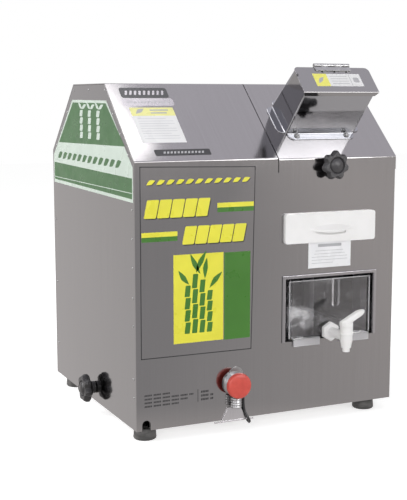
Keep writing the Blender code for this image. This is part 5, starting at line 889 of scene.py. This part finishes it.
lines = bmesh.new()
for number, right in enumerate((62, 100, 92, 78)):
    beads(lines, 14, right, 56.2 - LONG_ROWS * number, 59.0 - LONG_ROWS * number, 2.6)
for number, right in enumerate((128, 137, 136)):
    beads(lines, 113, right, 51.5 - SHORT_ROWS * number, 55.0 - SHORT_ROWS * number, 2.8)
bar(lines, 107, 108, 37, 58, 0, INK, 0)
add_decal("front_ruled_lines", lines, FRONT_FACE, "root", black_ink)


# Front card: a plain white vinyl card glued on between the drawer and the tank, with a grey head
# and faint rules printed on it.
FILM = 0.00012
PRINT_GREY = (0.42, 0.42, 0.44)
CARD_ROWS = 5.2
CARD_RULES = [(325, 380), (323, 383), (318, 388), (318, 388), (318, 360)]
grey_ink = vinyl("grey_ink", PRINT_GREY)
card = bmesh.new()
film, head, rule = 0, 1, 2
bar(card, 311.5, 394.8, 243.2, 288.4, 0, FILM, film)
bar(card, 330, 376, 278.5, 283.5, FILM, INK, head, rounding=1.0)
for number, (left, right) in enumerate(CARD_RULES):
    bar(card, left, right, 271.5 - CARD_ROWS * number, 272.6 - CARD_ROWS * number, FILM, INK, rule)
add_decal("front_card", card, FRONT_FACE, "root", vinyl("front_card_film", (0.86, 0.86, 0.88)), grey_ink,
          vinyl("faint_ink", (0.60, 0.60, 0.62)))


# Side decal: pale vinyl film, glued on, under two fields of green ink. A row of leaves runs between
# the fields, and three pale stalks of cane with their leaves stand in the upper one.
SIDE_GREEN = (0.058, 0.135, 0.055)
SIDE_PALE = (0.50, 0.57, 0.51)
SIDE_FILM = [(-418.4, 370.2), (-5.9, 366.2), (-6.5, 421.0), (-123.6, 523.1), (-301.3, 523.9),
             (-418.4, 421.5)]
LOWER_GREEN = [(-415.0, 376.0), (-9.5, 371.5), (-9.5, 404.0), (-415.0, 408.0)]
UPPER_GREEN = [(-385.0, 446.0), (-40.0, 452.0), (-126.0, 518.6), (-298.5, 519.4)]
SIDE_LEAVES = 12
SIDE_LEAF_PITCH = 28
SIDE_STALKS = 3
SIDE_STALK_PITCH = 44
SIDE_JOINTS = 4
SIDE_JOINT_PITCH = 12.5
side = bmesh.new()
dark, pale = 0, 1
field(side, SIDE_FILM, 0, FILM, pale)
field(side, LOWER_GREEN, FILM, INK, dark)
field(side, UPPER_GREEN, FILM, INK, dark)
for number in range(SIDE_LEAVES):
    leaf(side, (-392 + SIDE_LEAF_PITCH * number, 416.5), 30, 12, 22, FILM, INK, dark)
for number in range(SIDE_STALKS):
    across = SIDE_STALK_PITCH * number
    left = -262 + across
    for joint in range(SIDE_JOINTS):
        low = 458 + joint * SIDE_JOINT_PITCH
        bar(side, left, left + 15, low, low + 11, FILM + INK, INK, pale, lean=3.5, rounding=2.0)
    leaf(side, (-250 + across, 508), 26, 7, 18, FILM + INK, INK, pale)
    leaf(side, (-246 + across, 508), 26, 7, 152, FILM + INK, INK, pale)
bar(side, -413, -11, 380, 381.2, FILM + INK, INK, pale)
add_decal("side_decal", side, LEFT_FACE, "root", vinyl("side_green_ink", SIDE_GREEN, 0.15),
          vinyl("side_pale_film", SIDE_PALE, 0.15))


# Roof badge: a black and a silver film, glued on one above the other, each with a row of slanted
# bars printed along it.
BADGE_ROUNDING = 5.0
badge = bmesh.new()
upper, lower, grey = 0, 1, 2
bar(badge, 20, 104, 143, 167, 0, FILM, upper, rounding=BADGE_ROUNDING)
bar(badge, 18, 108, 124, 142, 0, FILM, lower, rounding=BADGE_ROUNDING)
for left in range(27, 92, 8):
    bar(badge, left, left + 4, 150, 160, FILM, INK, lower, lean=3, rounding=1.2)
for left in range(26, 99, 6):
    bar(badge, left, left + 3, 131, 134.5, FILM, INK, grey, lean=1.5, rounding=0.8)
badge_black = vinyl("badge_black", (0.045, 0.045, 0.048))
silver_film = new_finish("silver_film", (0.42, 0.40, 0.42), 0.30, metallic=0.6)
vary_roughness(silver_film, noise(silver_film, 90.0), 0.24, 0.38)
add_decal("roof_badge", badge, ROOF_FACE, "root", badge_black, silver_film, grey_ink)


# Roof card: white vinyl, glued on above the strip, with a yellow head that holds a leaf and two
# bars, and nine printed rules under it.
LABEL_WHITE = (0.76, 0.76, 0.77)
LABEL_YELLOW = (0.80, 0.78, 0.30)
ROOF_CARD_ROWS = 5.6
roof_card = bmesh.new()
film, head, grey, rule = 0, 1, 2, 3
bar(roof_card, 26, 102, 40, 120, 0, FILM, film)
bar(roof_card, 26, 102, 101, 120, FILM, INK, head)
bar(roof_card, 60, 92, 112.5, 115.5, FILM + INK, INK, grey)
bar(roof_card, 60, 88, 106.0, 109.0, FILM + INK, INK, grey)
leaf(roof_card, (34, 106), 20, 8, 35, FILM + INK, INK, grey)
for number in range(9):
    right = 94 if number % 3 else 82
    bar(roof_card, 33, right, 94 - ROOF_CARD_ROWS * number, 95 - ROOF_CARD_ROWS * number, FILM, INK, rule)
white_film = vinyl("white_film", LABEL_WHITE)
add_decal("roof_card", roof_card, ROOF_FACE, "root", white_film, vinyl("card_yellow", LABEL_YELLOW), grey_ink,
          vinyl("card_lines", (0.55, 0.55, 0.58)))


# Roof strip: black vinyl with rounded corners, glued on just above the eave, with a row of slanted
# grey bars printed on it.
strip = bmesh.new()
film, slanted = 0, 1
bar(strip, 40, 136, 11.5, 25, 0, FILM, film, rounding=2.0)
for left in range(54, 121, 6):
    bar(strip, left, left + 3.5, 16, 20.5, FILM, INK, slanted, lean=1.6)
add_decal("roof_strip", strip, ROOF_FACE, "root", black_ink, grey_ink)


# Lid card: white vinyl, glued on the hopper's lid. Printed on it are a yellow end that holds a leaf,
# four rules, an upright line and a rounded square.
LID_CARD_ROWS = 5.4
LID_YELLOW = (0.80, 0.76, 0.16)
lid_card = bmesh.new()
film, end, grey = 0, 1, 2
bar(lid_card, 312, 402, 10.5, 38, 0, FILM, film)
bar(lid_card, 312, 338, 10.5, 38, FILM, INK, end)
leaf(lid_card, (318, 17), 19, 7, 48, FILM + INK, INK, grey)
for number in range(4):
    bar(lid_card, 343, 376, 32 - LID_CARD_ROWS * number, 33 - LID_CARD_ROWS * number, FILM, INK, grey)
bar(lid_card, 380, 381, 12, 36.5, FILM, INK, grey)
bar(lid_card, 386, 397, 19, 30, FILM, INK, grey, rounding=3.0)
add_decal("lid_card", lid_card, LID_FACE, "hopper_lid", white_film, vinyl("lid_yellow", LID_YELLOW), grey_ink)
